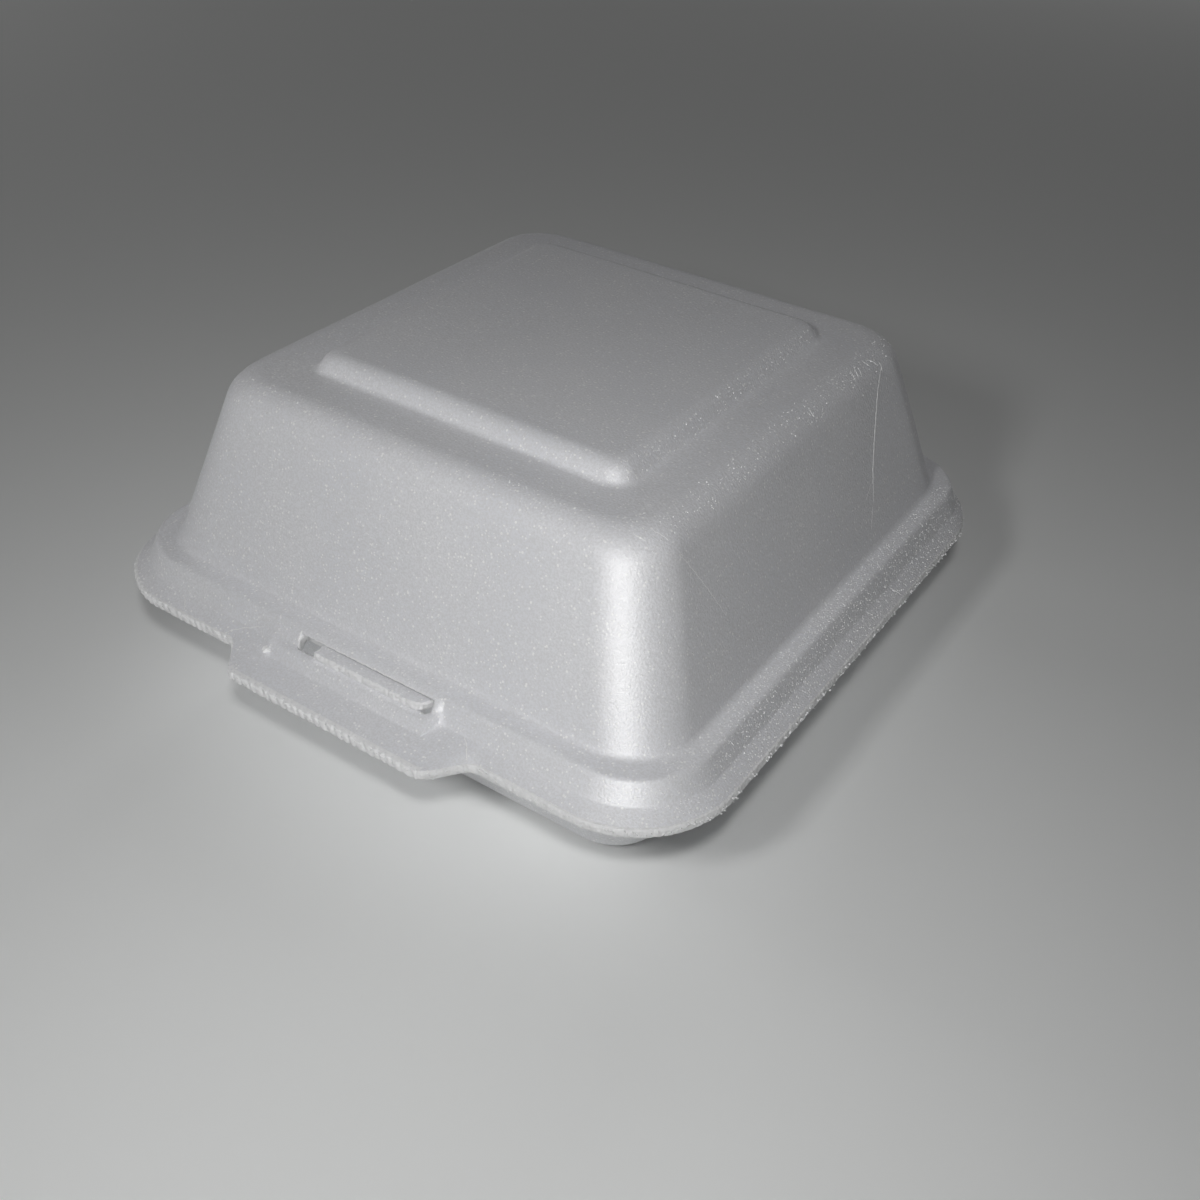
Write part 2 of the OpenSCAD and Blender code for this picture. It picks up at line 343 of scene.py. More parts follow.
def fillet(a, b, c, radius, steps, straight_reach):
    """Points of an arc tangent to both sides at b, and how far it reaches along them."""
    most_of_side = 0.48
    nearly_straight = math.radians(89)
    u = unit(a - b)
    v = unit(c - b)
    half = math.acos(np.clip(u @ v, -1, 1)) / 2
    room = most_of_side * min(np.linalg.norm(a - b), np.linalg.norm(c - b))
    shares = np.linspace(0, 1, steps + 1)[:, None]
    if half > nearly_straight:
        reach = min(room, straight_reach)
        return b + u * reach * (1 - shares) + v * reach * shares, reach
    reach = min(radius / math.tan(half), room)
    true_radius = reach * math.tan(half)
    middle = b + unit(u + v) * true_radius / math.sin(half)
    turn = -np.sign(cross(u, v)) * (math.pi - 2 * half)
    start = b + u * reach - middle
    angles = turn * shares[:, 0]
    x = start[0] * np.cos(angles) - start[1] * np.sin(angles)
    y = start[0] * np.sin(angles) + start[1] * np.cos(angles)
    return middle + np.stack([x, y], 1), reach


def arc_steps(radius):
    """How many steps the arc of a rounding has."""
    small, middling = 0.0015, 0.004
    return 5 if radius < small else 8 if radius < middling else 14


def rounded_pair(plain, latch, radii, d):
    """Two like paths with their vertices rounded alike, so that points with one number belong together."""
    plain_radii = skin_radii(plain, radii, d)
    latch_radii = skin_radii(latch, radii, d)
    plain = moved(plain, d)
    latch = moved(latch, d)
    p = []
    q = []
    for i, radius in enumerate(radii):
        if radius == 0:
            p.append(plain[i : i + 1])
            q.append(latch[i : i + 1])
            continue
        steps = arc_steps(radius)
        arc, reach = fillet(*latch[i - 1 : i + 2], latch_radii[i], steps, radius)
        q.append(arc)
        p.append(fillet(*plain[i - 1 : i + 2], plain_radii[i], steps, reach)[0])
    return np.concatenate(p), np.concatenate(q)


def densified(table, rim_inset):
    """Rows put between the rows of a table, close together at the rim and wider in the middle."""
    fine, coarse = 0.0006, 0.0021
    spare = 0.2
    rows = [table[0]]
    for a, b in zip(table[:-1], table[1:]):
        plain_run = np.linalg.norm(b[0:2] - a[0:2])
        lip_run = np.linalg.norm(b[0:2] + b[4:6] - a[0:2] - a[4:6])
        spacing = fine if a[0] < rim_inset else coarse
        count = max(1, math.ceil(max(plain_run, lip_run) / spacing - spare))
        for k in range(1, count + 1):
            rows.append(a + (b - a) * k / count)
    return np.array(rows)


def skin_rings(plain, latch, radii, corners, d):
    """Rows of plain point, its shift in the tab, its shift in the lip and corner radius."""
    rim_inset = 0.0125
    p, q = rounded_pair(plain, latch, radii, d)
    shift = q - p
    tab = np.zeros_like(shift)
    tab[0] = shift[0]
    lip = shift.copy()
    lip[0] = 0
    rows = densified(np.concatenate([p, tab, lip], 1), rim_inset)
    smallest = 0.0006
    below = moved(plain, d)
    radius = np.maximum(smallest, np.array(corners) - below[:, 0] + plain[:, 0])
    return np.concatenate([rows, np.interp(rows[:, 0], below[:, 0], radius)[:, None]], 1)


def lid_paths(c):
    """The lid's outer side away from the latch and at the latch, with roundings and corner radii."""
    rim, lid, latch = c.rim, c.lid, c.latch
    crease = np.array([rim.skirt_width, rim.low + rim.sheet + rim.skirt_rise])
    ledge_edge = np.array([rim.skirt_width + rim.step_run, rim.low + rim.ledge_height])
    wall_foot = ledge_edge + [rim.ledge_width, 0]
    wall_rise = lid.shoulder_height - rim.ledge_height
    shoulder = wall_foot + [wall_rise * math.tan(lid.draft), wall_rise]
    panel_foot = shoulder + [lid.band_width, 0]
    panel_edge = panel_foot + [lid.panel_slope, lid.panel_height]
    middle = np.array([rim.half_width - FLAT_HALF, panel_edge[1]])
    flat = panel_edge + [FLAT_START, 0]
    inner = [ledge_edge, wall_foot, shoulder, panel_foot, panel_edge, flat, middle]
    lip_in = rim.skirt_width - latch.lip_reach
    lip_low = rim.low + rim.sheet + rim.skirt_rise / 2
    lip_edge = lip_in + latch.lip_slope
    edge_z = rim.low + rim.sheet
    plain = [
        np.array([c.edge.set_back, edge_z]),
        crease,
        crease + (ledge_edge - crease) / 3,
        crease + (ledge_edge - crease) * 2 / 3,
    ]
    at_latch = [
        np.array([c.edge.set_back - latch.tab_reach, edge_z]),
        np.array([lip_in, lip_low]),
        np.array([lip_edge, lip_low + latch.lip_height]),
        np.array([lip_edge + latch.lip_top + latch.shelf_run, lip_low + latch.lip_height + latch.lip_climb]),
    ]
    radii = [
        0,
        rim.crease_round,
        latch.lip_round,
        rim.crease_round,
        rim.ledge_round,
        rim.foot_round,
        lid.shoulder_round,
        lid.panel_foot_round,
        lid.panel_round,
        0,
        0,
    ]
    corners = [
        *[rim.corner - point[0] for point in plain],
        rim.corner - ledge_edge[0],
        lid.wall_corner,
        lid.shoulder_corner,
        lid.panel_corner,
        lid.panel_corner - lid.panel_slope / 2,
        lid.panel_corner,
        FLAT_CORNER,
    ]
    return np.array(plain + inner), np.array(at_latch + inner), radii, corners


def base_paths(c):
    """The base's under side, with roundings and corner radii."""
    rim, base = c.rim, c.base
    true_rim = lid_paths(c)[0].copy()
    true_rim[0, 0] = 0
    flange_in = moved(true_rim, rim.sheet + base.nest_gap)[LEDGE_EDGE][0]
    flange_z = rim.low + rim.ledge_height - 2 * rim.sheet - base.nest_gap
    flange = np.array([flange_in, flange_z])
    wall_top = flange + [base.flange_width, 0]
    foot = np.array([wall_top[0] + flange_z * math.tan(base.draft), 0])
    recess_foot = foot + [base.foot_width, 0]
    recess_edge = recess_foot + [base.recess_slope, base.recess_height]
    middle = np.array([rim.half_width - FLAT_HALF, recess_edge[1]])
    flat = recess_edge + [FLAT_START, 0]
    path = [flange, wall_top, foot, recess_foot, recess_edge, flat, middle]
    radii = [0, rim.foot_round, base.foot_round, rim.foot_round, c.lid.panel_round, 0, 0]
    panel_corner = c.lid.panel_corner
    corners = [
        rim.corner - flange_in,
        base.wall_corner,
        base.foot_corner,
        panel_corner,
        panel_corner - base.recess_slope / 2,
        panel_corner,
        FLAT_CORNER,
    ]
    return np.array(path), radii, corners


def ease(t):
    """A smooth climb from 0 to 1 as t goes from 0 to 1."""
    return 0.5 - 0.5 * np.cos(np.pi * np.clip(t, 0, 1))


def tab_share(c, x):
    """How much of the tab's reach the cut edge has at x."""
    fade = (c.latch.tab_root - c.latch.tab_width) / 2
    return ease((c.latch.tab_root / 2 - np.abs(x)) / fade)


def lip_share(c, x):
    """How much of the lip's shape the rim has at x."""
    latch = c.latch
    return ease((latch.lip_left + x) / latch.left_fade) * ease((latch.lip_right - x) / latch.right_fade)


def stations(c, fine, coarse, corner_steps):
    """Places round a ring: shares along the front and the sides, and angles round a corner."""
    reach = c.rim.half_width - c.rim.corner
    beyond_tab = 0.002
    dense_reach = c.latch.tab_root / 2 + beyond_tab
    count = math.ceil(dense_reach / fine)
    inner = np.linspace(0, dense_reach, count + 1)
    outer = np.linspace(dense_reach, reach, math.ceil((reach - dense_reach) / coarse) + 1)[1:-1]
    half = np.concatenate([inner, outer]) / reach
    front = np.concatenate([-half[:0:-1], half])
    side = np.linspace(-1, 1, math.ceil(2 * reach / coarse) + 1)[1:-1]
    corner = np.linspace(0, math.pi / 2, corner_steps + 1)
    return front, side, corner


def ring(c, row, places):
    """One ring of a skin, anticlockwise from above, from the front's left end."""
    front, side, corner = places
    inset, height, tab_in, tab_up, lip_in, lip_up, radius = row
    in_skirt = min(max(1 - inset / c.rim.skirt_width, 0), 1)
    rear_radius = radius + (c.rim.rear_corner - c.rim.corner) * in_skirt
    half_x = c.rim.half_width - inset
    half_y = c.rim.half_depth - inset
    x_true = front * (c.rim.half_width - c.rim.corner)
    in_tab = tab_share(c, x_true)
    in_lip = lip_share(c, x_true)
    front_y = inset + tab_in * in_tab + lip_in * in_lip - c.rim.half_depth
    front_z = height + tab_up * in_tab + lip_up * in_lip
    blocks = [np.stack([front * (half_x - radius), front_y, front_z], 1)]
    climb = (side + 1) / 2
    right_y = -half_y + radius + climb * (2 * half_y - radius - rear_radius)
    sides = {
        0: np.stack([np.full_like(side, half_x), right_y], 1),
        1: np.stack([-side * (half_x - rear_radius), np.full_like(side, half_y)], 1),
        2: np.stack([np.full_like(side, -half_x), right_y[::-1]], 1),
    }
    corners = [(1, -1, radius), (1, 1, rear_radius), (-1, 1, rear_radius), (-1, -1, radius)]
    for i, (sx, sy, r) in enumerate(corners):
        turn = corner + (i - 1) * math.pi / 2
        arc = np.stack([sx * (half_x - r) + r * np.cos(turn), sy * (half_y - r) + r * np.sin(turn)], 1)
        plan = np.concatenate([arc, sides[i]]) if i in sides else arc
        blocks.append(np.concatenate([plan, np.full((len(plan), 1), height)], 1))
    return np.concatenate(blocks)


def skin(c, paths, d, places):
    """Rings of the skin that lies d below the paths."""
    return np.array([ring(c, row, places) for row in skin_rings(*paths, d)])


def knobbed(c, points):
    """Points with the lip's left end raised in a round knob that trails to the left and the back."""
    latch = c.latch
    x = points[:, 0] + latch.knob_place
    y = points[:, 1] + c.rim.half_depth - latch.knob_inset
    far_x = x / np.where(x < 0, latch.knob_tail, latch.knob_reach)
    far_y = y / np.where(y > 0, latch.knob_tail, latch.knob_reach)
    raised = points.copy()
    raised[:, 2] += latch.knob_height * np.exp(-(far_x**2 + far_y**2) / 2)
    return raised


def strayed(points, amount, low, high):
    """Points moved a little, as in a formed sheet, never up and growing from low to high."""
    x, y, z = (points * MM).T
    grow = np.clip((points[:, 2] - low) / (high - low), 0, 1)
    # Long waves and short ones of half their height, by their lengths in millimetres
    wave_x = np.sin(x / 11 + 1.3) * np.sin(y / 17 + z / 13)
    wave_x += 0.5 * np.sin(y / 7.3 + 0.4) * np.sin(z / 9 + x / 23)
    wave_y = np.sin(y / 12 + 0.7) * np.sin(x / 19 - z / 11)
    wave_y += 0.5 * np.sin(x / 6.7 + 2.1) * np.sin(z / 8 + y / 21)
    wave_z = np.sin(x / 15 + 0.2) * np.sin(y / 13 + 1.9)
    wave_z += 0.5 * np.sin(x / 6.1 - y / 8.7)
    sunk = 0.75
    shift = np.stack([wave_x, wave_y, wave_z / 2 - sunk], 1)
    return points + shift * (amount * grow)[:, None]


def sheet_mesh(name, upper, lower):
    """The closed sheet between an upper and a lower skin. Its cut edge takes the second material."""
    rings = np.concatenate([upper, lower[::-1]])
    count, n = rings.shape[:2]
    k, i = np.meshgrid(np.arange(count), np.arange(n), indexing="ij")
    after = (k + 1) % count
    beside = (i + 1) % n
    quads = np.stack([k * n + i, k * n + beside, after * n + beside, after * n + i], 2)
    quads = np.delete(quads, len(upper) - 1, axis=0)
    top = list(range((len(upper) - 1) * n, len(upper) * n))
    under = list(range(len(upper) * n, (len(upper) + 1) * n))[::-1]
    caps = [top, under]
    faces = quads.reshape(-1, 4).tolist() + caps
    mesh = bpy.data.meshes.new(name)
    mesh.from_pydata(rings.reshape(-1, 3).tolist(), [], faces)
    marks = np.zeros(len(faces), np.int32)
    edge_end = len(faces) - len(caps)
    marks[edge_end - n : edge_end] = 1
    mesh.polygons.foreach_set("material_index", marks)
    return mesh


def loop_mesh(name, sections):
    """A solid skinned over closed sections of one point count, with its ends capped."""
    count, n = sections.shape[:2]
    s, i = np.meshgrid(np.arange(count - 1), np.arange(n), indexing="ij")
    after = s + 1
    beside = (i + 1) % n
    quads = np.stack([s * n + i, after * n + i, after * n + beside, s * n + beside], 2)
    caps = [list(range(n)), list(range((count - 1) * n, count * n))[::-1]]
    mesh = bpy.data.meshes.new(name)
    mesh.from_pydata(sections.reshape(-1, 3).tolist(), [], quads.reshape(-1, 4).tolist() + caps)
    return mesh


def added(name, data):
    """A new object of that data in the scene."""
    made = bpy.data.objects.new(name, data)
    bpy.context.scene.collection.objects.link(made)
    return made


def piece(mesh, *materials):
    """A shown object of that mesh, smooth but for its hard edges."""
    hard = math.radians(38)
    for material in materials:
        mesh.materials.append(material)
    mesh.validate()
    mesh.shade_smooth()
    mesh.set_sharp_from_angle(angle=hard)
    return added(mesh.name, mesh)


def settle(shown, body, *nodes):
    """The piece rides on its body and stands for the nodes."""
    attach(shown, body)
    if nodes:
        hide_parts(*nodes)


def baked(shown):
    """The object with its modifiers applied and removed."""
    graph = bpy.context.evaluated_depsgraph_get()
    mesh = bpy.data.meshes.new_from_object(shown.evaluated_get(graph))
    mesh.name = shown.name
    shown.modifiers.clear()
    shown.data = mesh
    return shown


# Materials


def feed(tree, fed, inputs):
    """Sets or links inputs of a node, given by their names or numbers."""
    for key, value in inputs.items():
        if hasattr(value, "is_output"):
            tree.links.new(value, fed.inputs[key])
        else:
            fed.inputs[key].default_value = value


def node(tree, kind, inputs, **settings):
    """A new node with its settings and inputs."""
    made = tree.nodes.new(kind)
    for key, value in settings.items():
        setattr(made, key, value)
    feed(tree, made, inputs)
    return made


def texture(tree, kind, scale, inputs, **settings):
    """A texture node on Object coordinates, at that many repeats to the metre."""
    place = tree.nodes.get("Place") or node(tree, "ShaderNodeTexCoord", {}, name="Place")
    placed = {"Vector": place.outputs["Object"], "Scale": scale}
    return node(tree, kind, {**placed, **inputs}, **settings)


def noise(tree, scale, detail):
    """Soft random clouds, at that many repeats to the metre."""
    return texture(tree, "ShaderNodeTexNoise", scale, {"Detail": detail, "Roughness": 0.6}).outputs["Fac"]


def ranged(tree, socket, given, wanted):
    """The socket's value, taken from its given limits to the wanted ones."""
    limits = zip(("From Min", "From Max", "To Min", "To Max"), (*given, *wanted))
    return node(tree, "ShaderNodeMapRange", {"Value": socket, **dict(limits)}).outputs["Result"]


def maths(tree, operation, a, b):
    """The result of an operation on two values."""
    return node(tree, "ShaderNodeMath", {0: a, 1: b}, operation=operation).outputs["Value"]


def mixed(tree, factor, a, b):
    """A colour between a and b."""
    return node(tree, "ShaderNodeMix", {"Factor": factor, 6: a, 7: b}, data_type="RGBA").outputs[2]


def rgba(colour, dim=1):
    """A colour with its alpha, dimmed by that factor."""
    return (*[dim * x for x in colour], 1)


def bumped(tree, height, strength, distance, below=None):
    """The surface's direction after a bump, laid over the bump below it."""
    inputs = {"Height": height, "Strength": strength, "Distance": distance}
    if below is not None:
        inputs["Normal"] = below
    return node(tree, "ShaderNodeBump", inputs).outputs["Normal"]


def new_material(name):
    """A new material, its tree and its shader."""
    material = bpy.data.materials.new(name)
    material.use_nodes = True
    return material, material.node_tree, material.node_tree.nodes["Principled BSDF"]


def speck_mask(tree, spacing, radius, rarity):
    """A mask of round specks that size, in the share of the spaced cells that is above rarity."""
    solid_share = 0.75
    rarity_fade = 0.15
    cells = texture(tree, "ShaderNodeTexVoronoi", 1 / spacing, {})
    split = node(tree, "ShaderNodeSeparateColor", {"Color": cells.outputs["Color"]})
    rim = (solid_share * radius / spacing, radius / spacing)
    dot = ranged(tree, cells.outputs["Distance"], rim, (1, 0))
    chosen = ranged(tree, split.outputs["Red"], (rarity, rarity + rarity_fade), (0, 1))
    return maths(tree, "MULTIPLY", dot, chosen)


# Light soaks this far into the foam
SOAKING = {"Subsurface Scale": 0.0015, "Subsurface Radius": (1.0, 1.0, 1.0)}


def paint_skin(look, tree, shader):
    """Satin foam skin: faint cloudiness, a fine grain of cells and scattered bright specks, which are
    painted glints.
    """
    clouds_per_metre = 45
    grains_per_metre = 2300
    grain_dim = 0.89
    gloss_spread = 0.06
    small_spacing, small_size = 0.55, 0.75
    cloud = noise(tree, clouds_per_metre, detail=3.0)
    grain = noise(tree, grains_per_metre, detail=2.0)
    softened = {"Smoothness": 0.5}
    cells = texture(tree, "ShaderNodeTexVoronoi", 1 / look.cell, softened, feature="SMOOTH_F1")
    # Painted glints: specks of the whitened colour mixed into the skin's base colour
    large = speck_mask(tree, look.glint_speck_spacing, look.glint_speck_size, rarity=0.6)
    small = speck_mask(
        tree, look.glint_speck_spacing * small_spacing, look.glint_speck_size * small_size, rarity=0.7
    )
    glint_speck = maths(tree, "MAXIMUM", large, small)
    tone = ranged(tree, cloud, (0.3, 0.7), (0, 1))
    plain = mixed(tree, tone, rgba(look.skin_shade), rgba(look.skin))
    dark = ranged(tree, grain, (0.4, 0.6), (1, 0))
    grainy = mixed(tree, dark, plain, rgba(look.skin, grain_dim))
    gloss = (look.skin_gloss - gloss_spread, look.skin_gloss + gloss_spread)
    height = bumped(tree, cells.outputs["Distance"], strength=0.4, distance=0.00006)
    height = bumped(tree, grain, strength=0.8, distance=0.0001, below=height)
    height = bumped(tree, glint_speck, strength=0.3, distance=0.0001, below=height)
    sockets = {
        "Base Color": mixed(tree, glint_speck, grainy, rgba(look.whitened_and_glint)),
        "Roughness": ranged(tree, grain, (0.3, 0.7), gloss),
        "Normal": height,
        "Specular IOR Level": 0.9,
        "Subsurface Weight": 0.1,
        **SOAKING,
    }
    feed(tree, shader, sockets)


def paint_cut(look, tree, shader):
    """Cut foam: open cells, whiter and rougher than the skin."""
    cells_per_metre = 1600
    grains_per_metre = 3000
    cell_dim = 0.93
    cells = texture(tree, "ShaderNodeTexVoronoi", cells_per_metre, {}).outputs["Distance"]
    grain = noise(tree, grains_per_metre, detail=3.0)
    tone = ranged(tree, cells, (0, 0.7), (1, 0))
    height = bumped(tree, cells, strength=0.6, distance=0.00012)
    sockets = {
        "Base Color": mixed(tree, tone, rgba(look.cut, cell_dim), rgba(look.cut)),
        "Roughness": look.cut_gloss,
        "Normal": bumped(tree, grain, strength=0.5, distance=0.0001, below=height),
        "Subsurface Weight": 0.2,
        **SOAKING,
    }
    feed(tree, shader, sockets)


def paint_whitened_and_glints(look, tree, shader):
    """Creased and scuffed foam, opaque white where the cells have burst; the same white paints glints and
    the highlight on the lip's knob.
    """
    grains_per_metre = 4000
    grain_dim = 0.92
    grain = noise(tree, grains_per_metre, detail=2.0)
    tone = ranged(tree, grain, (0.35, 0.65), (0, 1))
    sockets = {
        "Base Color": mixed(tree, tone, rgba(look.whitened_and_glint, grain_dim), rgba(look.whitened_and_glint)),
        "Roughness": look.skin_gloss,
        "Normal": bumped(tree, grain, strength=0.6, distance=0.00008),
    }
    feed(tree, shader, sockets)


FINISHES = {"foam_skin": paint_skin, "foam_cut": paint_cut, "foam_whitened": paint_whitened_and_glints}


def finish(c, name):
    """The foam's finish of that name, painted when it is first asked for."""
    if name not in bpy.data.materials:
        FINISHES[name](c.foam, *new_material(name)[1:])
    return bpy.data.materials[name]


# Node trees


def node_tree(name, numbers):
    """A geometry tree with named number inputs, with what it is given and the socket for its result."""
    tree = bpy.data.node_groups.new(name, "GeometryNodeTree")
    tree.interface.new_socket("Geometry", in_out="OUTPUT", socket_type="NodeSocketGeometry")
    tree.interface.new_socket("Geometry", in_out="INPUT", socket_type="NodeSocketGeometry")
    for label in numbers:
        tree.interface.new_socket(label, in_out="INPUT", socket_type="NodeSocketFloat")
    tree.interface.new_socket("Seed", in_out="INPUT", socket_type="NodeSocketInt")
    end = tree.nodes.new("NodeGroupOutput")
    return tree, tree.nodes.new("NodeGroupInput").outputs, end.inputs["Geometry"]


def random_vector(tree, seed, low, high):
    """A random vector for each point, from low to high."""
    inputs = {0: low, 1: high, "Seed": seed}
    return node(tree, "FunctionNodeRandomValue", inputs, data_type="FLOAT_VECTOR").outputs[0]


def random_yes(tree, seed, chance):
    """Yes with that chance for each point, or else no."""
    inputs = {"Probability": chance, "Seed": seed}
    return node(tree, "FunctionNodeRandomValue", inputs, data_type="BOOLEAN").outputs[3]


def bits_on(tree, points, turn, size, material, chosen=True):
    """Small angular bits on chosen points, made real and given their material."""
    bit = node(tree, "GeometryNodeMeshIcoSphere", {"Radius": 1, "Subdivisions": 1})
    inputs = {
        "Points": points,
        "Selection": chosen,
        "Instance": bit.outputs["Mesh"],
        "Rotation": turn,
        "Scale": size,
    }
    placed = node(tree, "GeometryNodeInstanceOnPoints", inputs)
    real = node(tree, "GeometryNodeRealizeInstances", {"Geometry": placed.outputs["Instances"]})
    painted = {"Geometry": real.outputs["Geometry"], "Material": material}
    return node(tree, "GeometryNodeSetMaterial", painted).outputs["Geometry"]


# How far a crumb strays to the side, to the front and upwards, in scatters
CRUMB_STRAY = (0.4, 0.4, 3)


def crumb_tree(material):
    """Crumbs along a line, at a share of evenly spaced places."""
    numbers = ("Spacing", "Smallest", "Largest", "Share", "Scatter")
    tree, given, result = node_tree("crumbs_along_cut", numbers)
    seed = given["Seed"]
    full_turn = (6.28, 6.28, 6.28)
    line = node(tree, "GeometryNodeMeshToCurve", {"Mesh": given["Geometry"]})
    spaced = {"Curve": line.outputs["Curve"], "Length": given["Spacing"]}
    places = node(tree, "GeometryNodeResampleCurve", spaced, mode="LENGTH")
    way = random_vector(tree, seed, tuple(-far for far in CRUMB_STRAY), CRUMB_STRAY)
    stray = node(tree, "ShaderNodeVectorMath", {0: way, "Scale": given["Scatter"]}, operation="SCALE")
    strayed_to = {"Geometry": places.outputs["Curve"], "Offset": stray.outputs["Vector"]}
    strewn = node(tree, "GeometryNodeSetPosition", strayed_to)
    turn = random_vector(tree, seed, (0, 0, 0), full_turn)
    size = random_vector(tree, seed, given["Smallest"], given["Largest"])
    kept = random_yes(tree, seed, given["Share"])
    bits = bits_on(tree, strewn.outputs["Geometry"], turn, size, material, kept)
    tree.links.new(bits, result)
    return tree


def fleck_tree(material):
    """Raised flecks on a surface, as thick as its fleck attribute says."""
    tree, given, result = node_tree("flecks_on_skin", ("Density", "Smallest", "Largest"))
    thick = node(tree, "GeometryNodeInputNamedAttribute", {"Name": "fleck"}, data_type="FLOAT")
    density = maths(tree, "MULTIPLY", thick.outputs["Attribute"], given["Density"])
    spread = {"Mesh": given["Geometry"], "Density": density, "Seed": given["Seed"]}
    places = node(tree, "GeometryNodeDistributePointsOnFaces", spread)
    size = random_vector(tree, given["Seed"], given["Smallest"], given["Largest"])
    bits = bits_on(tree, places.outputs["Points"], places.outputs["Rotation"], size, material)
    tree.links.new(bits, result)
    return tree


def grown(shown, tree, **values):
    """The object after a tree with those inputs."""
    modifier = shown.modifiers.new(tree.name, "NODES")
    modifier.node_group = tree
    for item in tree.interface.items_tree:
        if item.in_out == "INPUT" and item.name in values:
            modifier[item.identifier] = values[item.name]
    return baked(shown)


# Wear, and a painted highlight on the lip's knob. Each mark is its width and its places on the lid, in
# millimetres.

MARKS = {
    "wall_crease": (0.46, ((52.8, 40.5, 73.5), (54.1, 37.3, 71.1), (54.9, 35.6, 68.7), (56.1, 33.7, 64.8),
                           (57.2, 31.9, 61.2), (58.4, 30.3, 57.6), (59.5, 28.8, 53.9), (60.5, 28.0, 50.7),
                           (61.5, 27.2, 47.5))),
    "crease_end": (0.22, ((61.7, 26.6, 46.9), (62.2, 25.8, 45.5), (63.1, 24.4, 42.5))),
    "crease_branch": (0.22, ((60.1, 27.6, 52.1), (60.4, 26.4, 51.2), (60.7, 24.9, 50.3),
                             (60.9, 23.9, 49.4))),
    "crackle_1": (0.41, ((50.2, 35.3, 75.4), (51.4, 35.5, 74.9), (52.2, 36.1, 74.1))),
    "crackle_2": (0.41, ((50.5, 36.4, 75.3), (51.5, 37.7, 74.7), (52.8, 38.9, 73.5))),
    "crackle_3": (0.34, ((50.3, 29.7, 75.4), (51.6, 28.7, 74.7), (52.5, 28.2, 73.8))),
    "crackle_4": (0.41, ((50.5, 31.2, 75.3), (51.7, 30.3, 74.6), (52.6, 29.8, 73.8))),
    "crackle_5": (0.34, ((50.7, 32.4, 75.1), (51.7, 31.9, 74.6), (52.4, 31.2, 73.9))),
    "crackle_6": (0.34, ((52.3, 39.9, 74.0), (53.2, 39.8, 72.9), (53.8, 39.3, 71.9))),
    "crackle_7": (0.34, ((51.0, 9.4, 75.0), (51.9, 9.0, 74.5), (52.6, 8.9, 73.7))),
    "crackle_8": (0.27, ((51.0, 8.2, 75.0), (51.7, 8.3, 74.6), (52.2, 8.1, 74.1))),
    "scratch": (0.18, ((53.3, -46.1, 72.4), (54.6, -44.7, 69.7), (55.6, -42.7, 66.5), (56.5, -40.9, 63.5),
                       (57.5, -39.1, 60.4), (59.6, -35.5, 53.5))),
    "corner_scuff_1": (0.27, ((47.3, -50.3, 75.0), (48.6, -50.2, 74.7), (49.8, -49.9, 74.1))),
    "corner_scuff_2": (0.22, ((49.5, -47.4, 75.1), (51.0, -47.0, 74.4), (52.4, -46.4, 73.5))),
    "ledge_tick": (0.30, ((67.3, 19.9, 38.0), (68.4, 18.7, 37.9), (69.3, 18.6, 37.0))),
    "skirt_tick_1": (0.34, ((71.2, 20.0, 33.1), (72.8, 20.7, 32.3), (74.0, 21.2, 31.6))),
    "skirt_tick_2": (0.27, ((70.8, 8.4, 33.4), (71.6, 8.8, 32.9), (72.4, 9.2, 32.4))),
    "step_tick": (0.27, ((68.6, -2.3, 37.9), (69.2, -2.0, 37.2), (69.6, -1.7, 36.3))),
    "tab_fold_left": (0.24, ((-34.0, -76.2, 31.6), (-33.0, -75.2, 32.1), (-30.6, -73.7, 32.8),
                             (-27.5, -72.6, 33.8), (-24.5, -72.2, 35.0))),
    "tab_fold_right": (0.27, ((26.8, -73.0, 33.2), (28.5, -74.6, 32.8), (29.6, -76.0, 32.1),
                              (30.3, -76.8, 31.6))),
    "slot_back_line": (0.3, ((-14.8, -71.6, 37.1), (0.0, -71.6, 37.1), (18.2, -71.6, 37.1))),
    "slot_end_left": (0.6, ((-15.7, -71.3, 37.3), (-15.8, -72.0, 36.6), (-15.8, -72.8, 35.6))),
    # A white patch on the lip's knob that paints the knob's highlight
    "lip_knob_painted_highlight": (2.2, ((-22.4, -76.2, 34.0), (-21.4, -76.6, 33.9), (-20.3, -77.0, 33.6))),
    "left_tick": (0.19, ((-48.3, -73.2, 33.0), (-47.2, -74.6, 32.4), (-46.1, -75.9, 31.7))),
}

# Where flecks are thick: a middle on the lid and a reach in millimetres, and a strength
FLECK_PATCHES = (
    ((-20.0, -71.8, 36.8), 3.2, 1.0),
    ((-22.5, -71.0, 37.9), 2.6, 0.8),
    ((20.0, -71.8, 36.8), 2.4, 1.0),
    ((25.0, -71.3, 37.3), 5.0, 0.6),
    ((33.0, -71.3, 37.5), 6.0, 0.35),
    ((51.6, 33.0, 74.6), 5.0, 0.6),
    ((51.6, 9.0, 74.6), 3.5, 0.5),
    ((47.5, -50.0, 75.0), 5.5, 0.45),
)

# Stage lamps: name, place, size, and the kind of ray that doesn't see the lamp
LAMPS = (
    ("key", (0.155, -0.225, 0.265), 0.02, None),
    ("front", (0.06, -0.27, 0.24), 0.04, None),
    ("sheen", (0.36, -0.75, 0.1), 0.42, "visible_diffuse"),
    ("back", (-0.3, 2.0, 0.18), 0.3, "visible_glossy"),
    ("left", (-1.4, -0.1, 0.14), 0.24, "visible_glossy"),
)

# Pieces


def slot_front(c):
    """Rim line to the slot's front edge, at the back of the lip's top."""
    return c.rim.skirt_width - c.latch.lip_reach + c.latch.lip_slope + c.latch.lip_top


